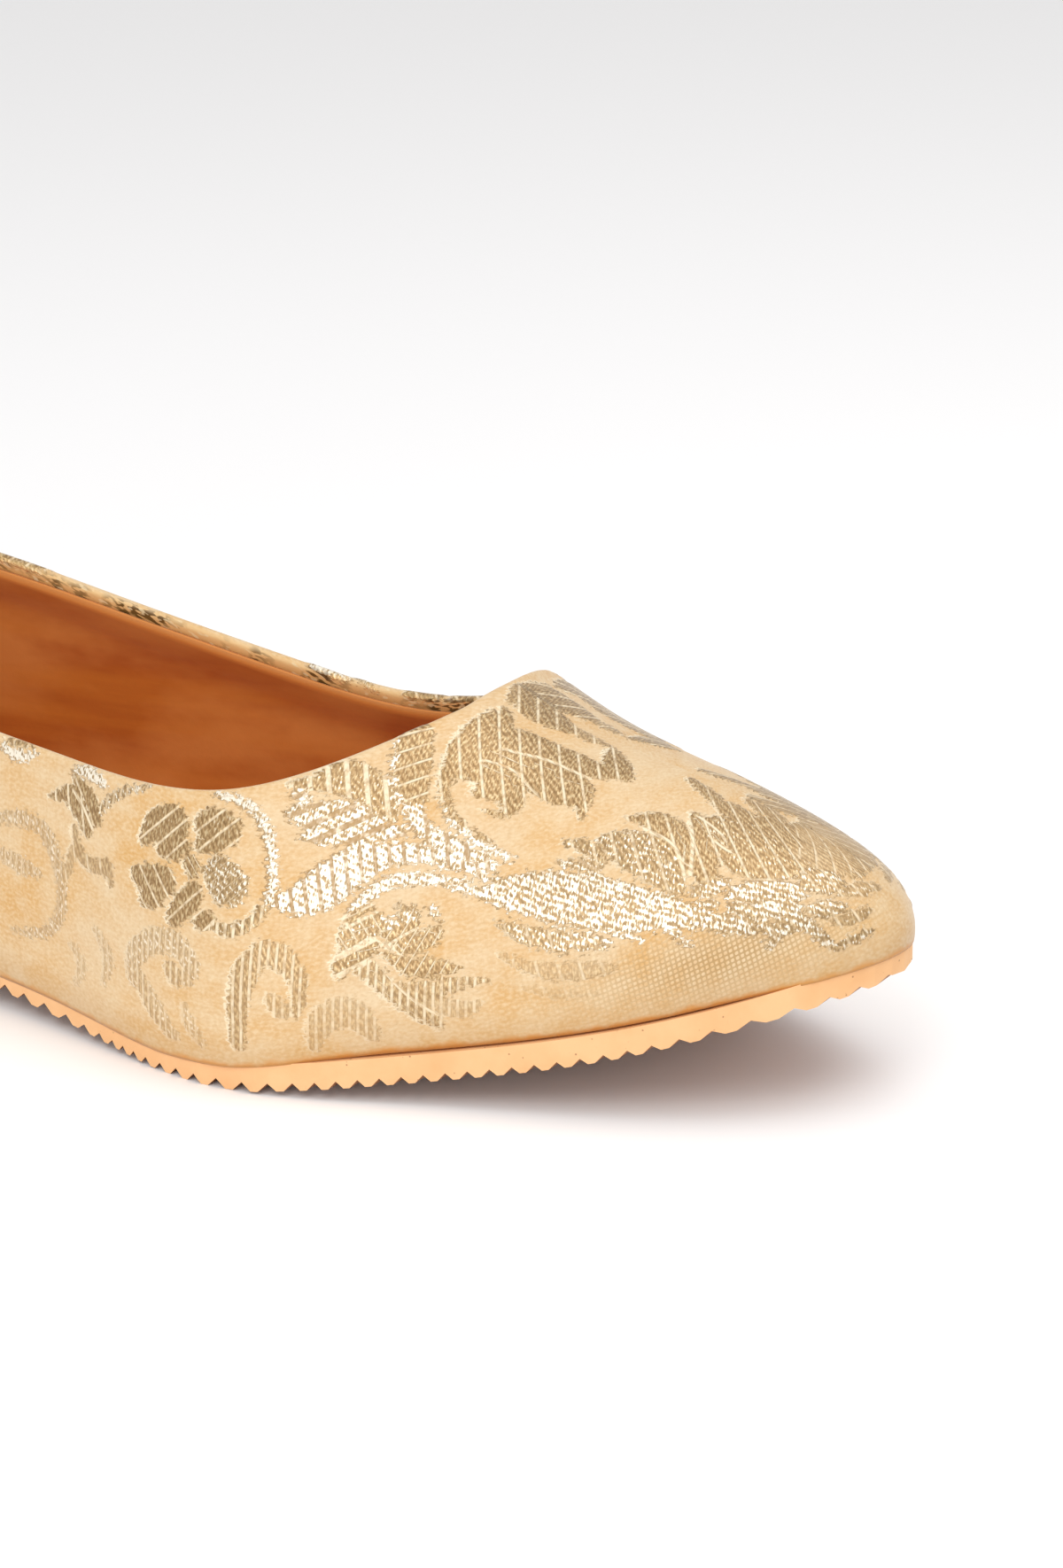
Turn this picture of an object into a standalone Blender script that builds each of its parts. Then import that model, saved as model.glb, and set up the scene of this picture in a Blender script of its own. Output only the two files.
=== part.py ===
"""Left shoe of a pair of pointed brocade ballet flats, as four separate CAD solids.

outsole    sheet of ribbed rubber, cut to the sole's outline and bent to heel, waist, ball and toe spring
heel_lift  low lift of plain rubber under the heel
insole     board on the lasting margin
upper      one shell with a real wall, lofted over the last, open at the collar and underneath

Units are metres. While the pieces are built, the heel's back is at X = 0, the toe points to +X, the
floor is Z = 0 and +Y is the lateral (outer) side. The finished shoe then hangs on an empty that
centres it on the origin.
"""

import math

import bmesh
import bpy
import numpy as np
from mathutils import Vector

MM = 0.001

# Driving dimensions
SOLE_LENGTH = 250 * MM
BALL_WIDTH = 82 * MM
INSTEP_HEIGHT = 51 * MM
HEEL_RISE = 7 * MM
TOE_SPRING = 18 * MM
WALL = 1.6 * MM
GAP = 0.3 * MM

# Sole, rib and board sizes
RIB_LAND_SHARE = 0.3
INSOLE_THICKNESS = 2.0 * MM
FEATHER_INSET = 0.8 * MM
HEEL_BREAST = 56 * MM
SLAB_THICKNESS = 4 * MM
LASTING_MARGIN = 8 * MM

# How far the vamp's ridge line stops short of the toe tip and of the heel's back
RIDGE_TOE_SETBACK = 14 * MM
RIDGE_HEEL_SETBACK = 26 * MM

# Mesh density
HEEL_STATIONS = 26
TOE_STATIONS = 13
WALL_ROWS = 11
THROAT_CROWDING = 1.5
SOLE_STATIONS = 40

# Plan of the sole. Each half width is fullness * ball width * the height of a unit half circle at that
# place, so a constant fullness would give an ellipse. Columns: share of length from the heel, fullness
# of the medial side, fullness of the lateral side.
OUTLINE = np.array([
    (0.00, 0.610, 0.625),
    (0.06, 0.565, 0.590),
    (0.14, 0.475, 0.507),
    (0.24, 0.386, 0.436),
    (0.34, 0.328, 0.408),
    (0.42, 0.322, 0.400),
    (0.50, 0.360, 0.420),
    (0.58, 0.438, 0.463),
    (0.64, 0.503, 0.508),
    (0.68, 0.529, 0.533),
    (0.72, 0.521, 0.538),
    (0.78, 0.490, 0.512),
    (0.86, 0.478, 0.480),
    (0.94, 0.476, 0.458),
    (1.00, 0.470, 0.465),
])

# Side view of the sole. The bottom stands above the floor by a share of the heel rise and a share of
# the toe spring. Columns: share of length, share of the heel rise, share of the toe spring, thickness
# of the rubber sheet with its ribs. The negative row is the tread pressed flat at the ball.
PROFILE = np.array([
    (0.00, 1.00, 0.000, 3.7 * MM),
    (0.12, 1.00, 0.000, 3.7 * MM),
    (0.24, 0.92, 0.000, 3.7 * MM),
    (0.36, 0.68, 0.000, 3.7 * MM),
    (0.48, 0.40, 0.000, 3.7 * MM),
    (0.58, 0.14, 0.000, 3.7 * MM),
    (0.66, 0.00, -0.008, 3.8 * MM),
    (0.72, 0.00, 0.070, 3.95 * MM),
    (0.80, 0.00, 0.242, 4.0 * MM),
    (0.88, 0.00, 0.480, 4.0 * MM),
    (0.94, 0.00, 0.733, 3.8 * MM),
    (1.00, 0.00, 1.000, 4.2 * MM),
])

# Top line of the shoe, above the floor, as shares of the instep height. Columns: share of length,
# medial collar, lateral collar. The sides are level in the last row, just behind the throat, where
# the collar meets the ridge.
COLLAR = np.array([
    (0.000, 1.180, 1.180),
    (0.120, 1.110, 1.145),
    (0.240, 0.985, 1.065),
    (0.360, 0.880, 0.968),
    (0.460, 0.805, 0.857),
    (0.540, 0.773, 0.758),
    (0.620, 0.765, 0.690),
    (0.680, 0.810, 0.725),
    (0.720, 0.880, 0.800),
    (0.740, 0.925, 0.868),
    (0.758, 0.968, 0.968),
])

# Crest of the last, from the ankle over the instep to the toe box: share of length, share of the
# instep height.
RIDGE = np.array([
    (0.10, 1.640),
    (0.24, 1.600),
    (0.48, 1.480),
    (0.64, 1.265),
    (0.72, 1.085),
    (0.80, 0.898),
    (0.86, 0.818),
    (0.91, 0.752),
    (0.95, 0.688),
])

# Cross sections of the last. Columns: share of length, belly (how far the wall swells past the
# feather edge), its height as a share of the section's, and how flat the section is across its crest.
SECTION = np.array([
    (0.00, 2.4 * MM, 0.46, 0.50),
    (0.32, 3.8 * MM, 0.42, 0.60),
    (0.60, 4.2 * MM, 0.42, 0.60),
    (0.80, 3.5 * MM, 0.44, 0.60),
    (0.94, 2.8 * MM, 0.48, 0.54),
    (1.00, 2.1 * MM, 0.48, 0.50),
])

# Ribs along the shoe: share of length, distance from rib to rib, depth of the notch between them.
RIBS = np.array([
    (0.00, 3.0 * MM, 1.2 * MM),
    (0.44, 3.0 * MM, 1.2 * MM),
    (0.53, 4.7 * MM, 1.2 * MM),
    (0.59, 2.1 * MM, 0.9 * MM),
    (0.67, 4.2 * MM, 1.3 * MM),
    (0.72, 2.8 * MM, 1.1 * MM),
    (0.89, 3.0 * MM, 0.9 * MM),
    (0.94, 5.0 * MM, 0.9 * MM),
    (0.98, 2.6 * MM, 0.8 * MM),
    (1.00, 1.6 * MM, 0.7 * MM),
])

MEDIAL = -1
LATERAL = 1

OUTSOLE_RUBBER = (0.80, 0.47, 0.21)
LIFT_RUBBER = (0.72, 0.40, 0.17)
INSOLE_TAN = (0.50, 0.21, 0.07)
BROCADE_CREAM = (0.86, 0.66, 0.42)


def spline(places, values, where):
    """Natural cubic spline through the rows (places, values), read at where."""
    steps = np.diff(places)
    rises = np.diff(values) / steps
    count = len(places)
    matrix = np.eye(count)
    right = np.zeros(count)
    for row in range(1, count - 1):
        matrix[row, row - 1] = steps[row - 1]
        matrix[row, row] = 2 * (steps[row - 1] + steps[row])
        matrix[row, row + 1] = steps[row]
        right[row] = 6 * (rises[row] - rises[row - 1])
    bends = np.linalg.solve(matrix, right)
    span = np.clip(np.searchsorted(places, where) - 1, 0, count - 2)
    before = where - places[span]
    after = places[span + 1] - where
    width = steps[span]
    chords = (values[span] * after + values[span + 1] * before) / width
    bow_before = bends[span] * after * (after**2 / width - width)
    bow_after = bends[span + 1] * before * (before**2 / width - width)
    return chords + (bow_before + bow_after) / 6


def column(table, number, share):
    """One column of a table, read smoothly at a share of the length."""
    return float(spline(table[:, 0], table[:, number], np.clip(share, 0.0, 1.0)))


def outline_point(angle, side):
    """Point on the sole's outline. The angle runs from 0 at the heel's back to pi at the toe tip."""
    share = (1 - math.cos(angle)) / 2
    fullness = column(OUTLINE, 1 if side == MEDIAL else 2, share)
    return Vector((share * SOLE_LENGTH, side * fullness * BALL_WIDTH * math.sin(angle), 0.0))


def outline_normal(angle, side):
    """Level unit vector that points out of the outline."""
    small = 0.001
    along = outline_point(angle + small, side) - outline_point(angle - small, side)
    return Vector((-along.y, along.x, 0.0)).normalized() * side


def inset_point(angle, side, inset):
    return outline_point(angle, side) - outline_normal(angle, side) * inset


def sole_bottom(x):
    """Height of the tread's lands above the floor."""
    share = x / SOLE_LENGTH
    height = HEEL_RISE * column(PROFILE, 1, share) + TOE_SPRING * column(PROFILE, 2, share)
    return max(height, 0.0)


def sole_top(x):
    return sole_bottom(x) + column(PROFILE, 3, x / SOLE_LENGTH)


def ridge_height(x):
    share = np.clip(x / SOLE_LENGTH, RIDGE[0, 0], RIDGE[-1, 0])
    return INSTEP_HEIGHT * float(spline(RIDGE[:, 0], RIDGE[:, 1], share))


def ridge_slope(x):
    small = 0.5 * MM
    return (ridge_height(x + small) - ridge_height(x - small)) / (2 * small)


def ridge_place(x):
    """Place along the ridge where the section that starts at x on the outline ends."""
    return RIDGE_HEEL_SETBACK + x / SOLE_LENGTH * (SOLE_LENGTH - RIDGE_HEEL_SETBACK - RIDGE_TOE_SETBACK)


def collar_height(x, side):
    """Height of the top line. Past the table it rises on, so it crosses the ridge only once."""
    share = x / SOLE_LENGTH
    inside = min(share, COLLAR[-1, 0])
    height = INSTEP_HEIGHT * column(COLLAR, 1 if side == MEDIAL else 2, inside)
    return height + (share - inside) * SOLE_LENGTH


def section_handles(angle, side):
    """Four Bezier points of one section: feather edge, belly, shoulder and ridge."""
    feather = inset_point(angle, side, FEATHER_INSET)
    share = (1 - math.cos(angle)) / 2
    feather.z = sole_top(feather.x) + GAP
    crest_x = ridge_place(share * SOLE_LENGTH)
    crest = Vector((crest_x, 0.0, ridge_height(crest_x)))
    belly = feather + outline_normal(angle, side) * column(SECTION, 1, share)
    belly.z += column(SECTION, 2, share) * (crest.z - feather.z)
    reach = (feather - crest) * column(SECTION, 3, share)
    shoulder = crest + Vector((reach.x, reach.y, reach.x * ridge_slope(crest_x)))
    return feather, belly, shoulder, crest


def section_point(handles, share):
    feather, belly, shoulder, crest = handles
    rest = 1 - share
    low = feather * rest**3 + belly * (3 * rest * rest * share)
    return low + shoulder * (3 * rest * share * share) + crest * share**3


def collar_share(handles, side):
    """Share of a section below the top line: 1 where the section runs up to the ridge."""
    def above(share):
        point = section_point(handles, share)
        return point.z - collar_height(point.x, side)

    if above(1.0) <= 0:
        return 1.0
    low = 0.0
    high = 1.0
    for _ in range(40):
        middle = (low + high) / 2
        if above(middle) > 0:
            high = middle
        else:
            low = middle
    return (low + high) / 2


def throat_angle():
    """Angle of the section that ends where the collar meets the ridge."""
    low = math.pi / 2
    high = math.pi
    for _ in range(40):
        middle = (low + high) / 2
        if collar_share(section_handles(middle, MEDIAL), MEDIAL) < 1.0:
            low = middle
        else:
            high = middle
    return high


def station_angles():
    """Angles of the sections from the toe tip to the heel's back, with one at the throat."""
    throat = throat_angle()
    toe = np.linspace(math.pi, throat, TOE_STATIONS + 1)
    heel = throat * (1 - np.linspace(0.0, 1.0, HEEL_STATIONS + 1) ** THROAT_CROWDING)
    return [float(angle) for angle in toe] + [float(angle) for angle in heel[1:]]


def make_material(name, color, roughness):
    material = bpy.data.materials.new(name)
    material.use_nodes = True
    shader = material.node_tree.nodes["Principled BSDF"]
    shader.inputs["Base Color"].default_value = (*color, 1.0)
    shader.inputs["Roughness"].default_value = roughness
    shader.inputs["Metallic"].default_value = 0.0
    return material


def add_object(name, mesh, material, collection, parent):
    """New object in the shoe's collection, hung on the centring empty."""
    part = bpy.data.objects.new(name, mesh)
    mesh.materials.clear()
    mesh.materials.append(material)
    collection.objects.link(part)
    part.parent = parent
    return part


def outline_sheet(inset):
    """Flat slab with the sole's outline, made from a filled 2D curve. Its caps are single faces."""
    angles = np.linspace(0.0, math.pi, SOLE_STATIONS + 1)
    loop = [inset_point(angle, MEDIAL, inset) for angle in angles]
    loop += [inset_point(angle, LATERAL, inset) for angle in angles[-2:0:-1]]
    curve = bpy.data.curves.new("outline", "CURVE")
    curve.dimensions = "2D"
    curve.fill_mode = "BOTH"
    curve.extrude = SLAB_THICKNESS / 2
    line = curve.splines.new("POLY")
    line.points.add(len(loop) - 1)
    for point, place in zip(line.points, loop):
        point.co = (place.x, place.y, 0.0, 1.0)
    line.use_cyclic_u = True
    guide = bpy.data.objects.new("outline", curve)
    bpy.context.scene.collection.objects.link(guide)
    evaluated = guide.evaluated_get(bpy.context.evaluated_depsgraph_get())
    mesh = bpy.data.meshes.new_from_object(evaluated)
    bpy.data.objects.remove(guide)
    bpy.data.curves.remove(curve)
    sheet = bmesh.new()
    sheet.from_mesh(mesh)
    bpy.data.meshes.remove(mesh)
    bmesh.ops.remove_doubles(sheet, verts=sheet.verts, dist=0.01 * MM)
    flat_angle = math.radians(0.5)
    bmesh.ops.dissolve_limit(sheet, angle_limit=flat_angle, verts=sheet.verts, edges=sheet.edges)
    return sheet


def cut_across(sheet, places):
    """Cut the slab into strips at each place along X, so that it can be bent there."""
    for place in places:
        geometry = sheet.verts[:] + sheet.edges[:] + sheet.faces[:]
        bmesh.ops.bisect_plane(sheet, geom=geometry, plane_co=(place, 0, 0), plane_no=(1, 0, 0), dist=1e-6)


def keep_behind(sheet, place):
    """Cut off everything in front of a place along X and close the cut."""
    geometry = sheet.verts[:] + sheet.edges[:] + sheet.faces[:]
    cut = bmesh.ops.bisect_plane(
        sheet, geom=geometry, plane_co=(place, 0, 0), plane_no=(1, 0, 0), dist=1e-6, clear_outer=True
    )
    edges = [item for item in cut["geom_cut"] if isinstance(item, bmesh.types.BMEdge)]
    bmesh.ops.holes_fill(sheet, edges=edges)


def bend(sheet, bottom, top):
    """Set the height of each vertex from its side of the slab and its place along X."""
    for vertex in sheet.verts:
        height = top if vertex.co.z > 0 else bottom
        vertex.co.z = height(vertex.co.x)


def finish_mesh(name, solid):
    bmesh.ops.recalc_face_normals(solid, faces=solid.faces)
    mesh = bpy.data.meshes.new(name)
    solid.to_mesh(mesh)
    solid.free()
    return mesh


def rib_profile():
    """Places along X and depths of the tread: each rib is a notch, a slope, a land and a slope."""
    places = []
    depths = []
    start = HEEL_BREAST + GAP
    while start < SOLE_LENGTH:
        pitch, depth = (float(np.interp(start / SOLE_LENGTH, RIBS[:, 0], RIBS[:, row])) for row in (1, 2))
        slope = pitch * (1 - RIB_LAND_SHARE) / 2
        places += [start, start + slope, start + pitch - slope]
        depths += [depth, 0.0, 0.0]
        start += pitch
    places.append(start)
    depths.append(depth)
    return places, depths


def build_outsole(material, collection, parent):
    places, depths = rib_profile()
    sheet = outline_sheet(0.0)
    heel_cuts = list(np.arange(8 * MM, HEEL_BREAST, 8 * MM))
    cuts = [place for place in heel_cuts + places if place < SOLE_LENGTH - 0.2 * MM]
    cut_across(sheet, cuts)

    def tread(x):
        depth = float(np.interp(x, places, depths)) if x > places[0] - GAP else 0.0
        return sole_bottom(x) + depth

    bend(sheet, tread, sole_top)
    return add_object("outsole", finish_mesh("outsole", sheet), material, collection, parent)


def build_heel_lift(material, collection, parent):
    sheet = outline_sheet(0.0)
    keep_behind(sheet, HEEL_BREAST)
    cut_across(sheet, np.arange(8 * MM, HEEL_BREAST, 8 * MM))
    bend(sheet, lambda x: 0.0, lambda x: sole_bottom(x) - GAP)
    return add_object("heel_lift", finish_mesh("heel_lift", sheet), material, collection, parent)


def build_insole(material, collection, parent):
    sheet = outline_sheet(FEATHER_INSET + WALL + 2 * GAP)
    cut_across(sheet, np.arange(8 * MM, SOLE_LENGTH - 4 * MM, 8 * MM))
    lift = GAP + WALL + GAP
    bend(sheet, lambda x: sole_top(x) + lift, lambda x: sole_top(x) + lift + INSOLE_THICKNESS)
    return add_object("insole", finish_mesh("insole", sheet), material, collection, parent)


def margin_point(handles):
    """Inner edge of the lasting margin that is turned under the insole."""
    feather, _, _, crest = handles
    inward = Vector((crest.x - feather.x, crest.y - feather.y, 0.0)).normalized()
    point = feather + inward * LASTING_MARGIN
    point.z = sole_top(point.x) + GAP
    return point


def upper_columns():
    """Points of every section, round the shoe from the toe tip over the medial side and back."""
    angles = station_angles()
    around = [(angle, MEDIAL) for angle in angles]
    around += [(angle, LATERAL) for angle in reversed(angles[:-1])]
    columns = []
    for angle, side in around:
        handles = section_handles(angle, side)
        top = collar_share(handles, side)
        points = [margin_point(handles)]
        points += [section_point(handles, top * row / WALL_ROWS) for row in range(WALL_ROWS + 1)]
        columns.append(points)
    return columns


def build_upper(material, collection, parent):
    columns = upper_columns()
    last_column = len(columns) - 1
    last_row = len(columns[0]) - 1
    surface = bmesh.new()
    bmesh.ops.create_grid(surface, x_segments=last_column, y_segments=last_row, size=1.0)
    for vertex in surface.verts:
        number = round((vertex.co.x + 1) / 2 * last_column)
        row = round((vertex.co.y + 1) / 2 * last_row)
        vertex.co = columns[number][row]
    bmesh.ops.remove_doubles(surface, verts=surface.verts, dist=0.02 * MM)
    upper = add_object("upper", finish_mesh("upper", surface), material, collection, parent)
    shell = upper.modifiers.new("wall", "SOLIDIFY")
    shell.thickness = WALL
    shell.offset = -1.0
    shell.use_even_offset = True
    shell.use_rim = True
    upper.data.shade_smooth()
    return upper


def main():
    for leftover in list(bpy.data.objects):
        bpy.data.objects.remove(leftover, do_unlink=True)
    collection = bpy.data.collections.new("brocade_ballet_flat")
    bpy.context.scene.collection.children.link(collection)
    centre = bpy.data.objects.new("shoe_centre", None)
    centre.location = (-SOLE_LENGTH / 2, 0.0, 0.0)
    collection.objects.link(centre)
    outsole_rubber = make_material("outsole_rubber", OUTSOLE_RUBBER, 0.6)
    lift_rubber = make_material("lift_rubber", LIFT_RUBBER, 0.65)
    insole_board = make_material("insole_board", INSOLE_TAN, 0.75)
    brocade = make_material("brocade", BROCADE_CREAM, 0.55)
    build_outsole(outsole_rubber, collection, centre)
    build_heel_lift(lift_rubber, collection, centre)
    build_insole(insole_board, collection, centre)
    build_upper(brocade, collection, centre)


main()
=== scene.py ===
# %% [markdown]
# # A pointed brocade ballet flat
# This notebook dresses the CAD model of one shoe, the left of a pair. The CAD model gives the size and
# the place of every piece. Here each piece gets what the eye looks for: woven brocade with raised gold
# figures, a leather lining, a tan sock and a crepe rubber sole. We start by loading that fixed frame.
# %% Load the frame
import math
from functools import partial

import bmesh
import bpy
import numpy as np
from mathutils import Matrix, Vector


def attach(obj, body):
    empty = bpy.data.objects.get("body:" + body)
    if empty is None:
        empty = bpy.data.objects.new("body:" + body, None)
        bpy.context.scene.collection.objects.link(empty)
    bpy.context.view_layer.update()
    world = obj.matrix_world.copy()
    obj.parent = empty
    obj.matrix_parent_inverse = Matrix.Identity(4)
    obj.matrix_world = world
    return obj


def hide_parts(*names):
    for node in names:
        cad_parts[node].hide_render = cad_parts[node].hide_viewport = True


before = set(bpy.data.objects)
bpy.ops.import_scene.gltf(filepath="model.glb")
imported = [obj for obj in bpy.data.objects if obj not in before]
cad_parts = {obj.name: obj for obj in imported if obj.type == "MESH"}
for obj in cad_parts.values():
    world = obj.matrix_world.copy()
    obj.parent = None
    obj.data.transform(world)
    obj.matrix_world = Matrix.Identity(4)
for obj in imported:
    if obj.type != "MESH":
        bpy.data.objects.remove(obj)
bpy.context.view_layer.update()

MM = 0.001
ROOT = "root"
print("CAD nodes:", ", ".join(sorted(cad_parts)))

# %% [markdown]
# ## Camera
# The view is from the inner side of the shoe and a little above it, near the toe, with the heel beyond
# its edge. A long lens keeps the toe from growing. The camera is aimed by three angles, so that it can
# be read like a tripod: round the shoe, up, and a slight roll.
# %% Camera
AZIMUTH = math.radians(29.49)
ELEVATION = math.radians(17.63)
ROLL = math.radians(-0.54)
CAMERA_DISTANCE = 637.4 * MM
CAMERA_TARGET = Vector((44.82, 41.71, 20.4)) * MM
LENS = 97.93
SENSOR = 36.0


def add_camera():
    """Camera that looks at the target from the azimuth and elevation, turned by the roll."""
    back = Vector((
        math.sin(AZIMUTH) * math.cos(ELEVATION),
        -math.cos(AZIMUTH) * math.cos(ELEVATION),
        math.sin(ELEVATION),
    ))
    level = Vector((math.cos(AZIMUTH), math.sin(AZIMUTH), 0.0))
    up = back.cross(level)
    right = level * math.cos(ROLL) + up * math.sin(ROLL)
    top = up * math.cos(ROLL) - level * math.sin(ROLL)
    data = bpy.data.cameras.new("camera")
    data.lens = LENS
    data.sensor_width = SENSOR
    camera = bpy.data.objects.new("camera", data)
    bpy.context.scene.collection.objects.link(camera)
    turn = Matrix((right, top, back)).transposed().to_4x4()
    camera.matrix_world = Matrix.Translation(CAMERA_TARGET + back * CAMERA_DISTANCE) @ turn
    bpy.context.scene.camera = camera
    return camera


camera = add_camera()
print("camera at", [round(value, 3) for value in camera.location])

# %% [markdown]
# ## Small helpers
# Colours are written as sRGB hex values, as on a paint chart, and turned to the linear values that the
# shader wants. One function adds a node, sets it up and links it, so that a material reads as a list.
# %% Colour and node helpers
def linear(code, alpha=1.0):
    """Linear RGBA of an sRGB hex colour such as 808080, a middle grey."""
    channels = [int(code[start:start + 2], 16) / 255 for start in (0, 2, 4)]
    straight = [
        value / 12.92 if value <= 0.04045 else ((value + 0.055) / 1.055) ** 2.4 for value in channels
    ]
    return (*straight, alpha)


def new_material(name):
    """Empty material with a Principled shader."""
    material = bpy.data.materials.new(name)
    material.use_nodes = True
    return material


def add_node(material, kind, inputs=(), output=0, **settings):
    """Add a node, set it up, link it and return one of its outputs. Inputs are a list from the first
    socket on, or a dict by name or number. Each is a value, a hex colour or another node's output."""
    tree = material.node_tree
    node = tree.nodes.new(kind)
    for name, value in settings.items():
        setattr(node, name, value)
    for socket, value in inputs.items() if isinstance(inputs, dict) else enumerate(inputs):
        if isinstance(value, bpy.types.NodeSocket):
            tree.links.new(value, node.inputs[socket])
        else:
            node.inputs[socket].default_value = linear(value) if isinstance(value, str) else value
    return node.outputs[output]


def set_shader(material, **values):
    """Set or link the sockets of the material's Principled shader. Spaces are written as _."""
    shader = material.node_tree.nodes["Principled BSDF"]
    for name, value in values.items():
        socket = shader.inputs[name.replace("_", " ")]
        if isinstance(value, bpy.types.NodeSocket):
            material.node_tree.links.new(value, socket)
        else:
            socket.default_value = value


print("middle grey, 808080, is", round(linear("808080")[0], 3), "of white in linear light")

# %% [markdown]
# ## The last
# A shoe is built over a last, a solid form of the foot. Its sections stand on the feather edge, where
# upper and sole meet, and run up to a ridge. The same rows of numbers shaped the CAD model, so a cloth
# that is laid on these sections has the CAD model's shape, with as fine a mesh as we like.
# %% Tables of the last
SOLE_LENGTH = 250 * MM
BALL_WIDTH = 82 * MM
INSTEP_HEIGHT = 51 * MM
HEEL_RISE = 7 * MM
TOE_SPRING = 18 * MM
WALL = 1.6 * MM
GAP = 0.3 * MM
FEATHER_INSET = 0.8 * MM
INSOLE_THICKNESS = 2.0 * MM
LASTING_MARGIN = 8 * MM
RIDGE_TOE_SETBACK = 14 * MM
RIDGE_HEEL_SETBACK = 26 * MM
CENTRE_X = SOLE_LENGTH / 2
MEDIAL = -1
LATERAL = 1
SIDE_END = math.pi * 0.44

# Share of the length from the heel, fullness of the medial side, fullness of the lateral side
OUTLINE = np.array([
    (0.00, 0.610, 0.625), (0.06, 0.565, 0.590), (0.14, 0.475, 0.507), (0.24, 0.386, 0.436),
    (0.34, 0.328, 0.408), (0.42, 0.322, 0.400), (0.50, 0.360, 0.420), (0.58, 0.438, 0.463),
    (0.64, 0.503, 0.508), (0.68, 0.529, 0.533), (0.72, 0.521, 0.538), (0.78, 0.490, 0.512),
    (0.86, 0.478, 0.480), (0.94, 0.476, 0.458), (1.00, 0.470, 0.465),
])
# Share of the length, share of the heel rise, share of the toe spring, thickness of the sole
PROFILE = np.array([
    (0.00, 1.00, 0.000, 3.7 * MM), (0.12, 1.00, 0.000, 3.7 * MM), (0.24, 0.92, 0.000, 3.7 * MM),
    (0.36, 0.68, 0.000, 3.7 * MM), (0.48, 0.40, 0.000, 3.7 * MM), (0.58, 0.14, 0.000, 3.7 * MM),
    (0.66, 0.00, -0.008, 3.8 * MM), (0.72, 0.00, 0.070, 3.95 * MM), (0.80, 0.00, 0.242, 4.0 * MM),
    (0.88, 0.00, 0.480, 4.0 * MM), (0.94, 0.00, 0.733, 3.8 * MM), (1.00, 0.00, 1.000, 4.2 * MM),
])
# Share of the length, height of the medial collar, height of the lateral collar, in instep heights
COLLAR = np.array([
    (0.000, 1.180, 1.180), (0.120, 1.110, 1.145), (0.240, 0.985, 1.065), (0.360, 0.880, 0.968),
    (0.460, 0.805, 0.857), (0.540, 0.773, 0.758), (0.620, 0.765, 0.690), (0.680, 0.810, 0.725),
    (0.720, 0.880, 0.800), (0.740, 0.925, 0.868), (0.758, 0.968, 0.968),
])
# Share of the length, height of the ridge in instep heights
RIDGE = np.array([
    (0.10, 1.640), (0.24, 1.600), (0.48, 1.480), (0.64, 1.265), (0.72, 1.085),
    (0.80, 0.898), (0.86, 0.818), (0.91, 0.752), (0.95, 0.688),
])
# Share of the length, swell of the belly, its height as a share of the section's, flatness on top
SECTION = np.array([
    (0.00, 2.4 * MM, 0.46, 0.50), (0.32, 3.8 * MM, 0.42, 0.60), (0.60, 4.2 * MM, 0.42, 0.60),
    (0.80, 3.5 * MM, 0.44, 0.60), (0.94, 2.8 * MM, 0.48, 0.54), (1.00, 2.1 * MM, 0.48, 0.50),
])

# %% Smooth curves through the tables
def spline(places, values, where):
    """Natural cubic spline through the rows (places, values), read at each of where."""
    steps = np.diff(places)
    rises = np.diff(values) / steps
    count = len(places)
    matrix = np.eye(count)
    right = np.zeros(count)
    for row in range(1, count - 1):
        matrix[row, row - 1:row + 2] = (steps[row - 1], 2 * (steps[row - 1] + steps[row]), steps[row])
        right[row] = 6 * (rises[row] - rises[row - 1])
    bends = np.linalg.solve(matrix, right)
    span = np.clip(np.searchsorted(places, where) - 1, 0, count - 2)
    before = where - places[span]
    after = places[span + 1] - where
    width = steps[span]
    chords = (values[span] * after + values[span + 1] * before) / width
    bow_before = bends[span] * after * (after**2 / width - width)
    bow_after = bends[span + 1] * before * (before**2 / width - width)
    return chords + (bow_before + bow_after) / 6


def column(table, number, share):
    """One column of a table, read smoothly at shares of the length."""
    return spline(table[:, 0], table[:, number], np.clip(share, 0.0, 1.0))


def by_side(table, share, sides):
    """Second column of a table on the medial side, third on the lateral side."""
    return np.where(sides == MEDIAL, column(table, 1, share), column(table, 2, share))


print("sole at the ball:", round(float(column(PROFILE, 3, 0.66)) / MM, 1), "mm thick")

# %% Outline, sole, ridge and collar
OUTLINE_STEP = 0.001


def length_share(angles):
    """Share of the length at each angle round the outline."""
    return (1 - np.cos(angles)) / 2


def outline_points(angles, sides):
    """Points of the sole's outline. The angle runs from 0 at the heel's back to pi at the toe tip."""
    share = length_share(angles)
    half_width = by_side(OUTLINE, share, sides) * BALL_WIDTH * np.sin(angles)
    return np.stack([share * SOLE_LENGTH, sides * half_width, np.zeros_like(share)], axis=-1)


def outline_normals(angles, sides):
    """Level directions straight out of the outline."""
    along = outline_points(angles + OUTLINE_STEP, sides) - outline_points(angles - OUTLINE_STEP, sides)
    level = np.stack([-along[:, 1], along[:, 0], np.zeros(len(along))], axis=-1)
    return level / np.linalg.norm(level, axis=1, keepdims=True) * sides[:, None]


def sole_top(x):
    """Height of the sole's upper face."""
    share = x / SOLE_LENGTH
    bottom = HEEL_RISE * column(PROFILE, 1, share) + TOE_SPRING * column(PROFILE, 2, share)
    return np.maximum(bottom, 0.0) + column(PROFILE, 3, share)


def ridge_height(x):
    """Height of the ridge that runs over the foot."""
    share = np.clip(x / SOLE_LENGTH, RIDGE[0, 0], RIDGE[-1, 0])
    return INSTEP_HEIGHT * spline(RIDGE[:, 0], RIDGE[:, 1], share)


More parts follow.
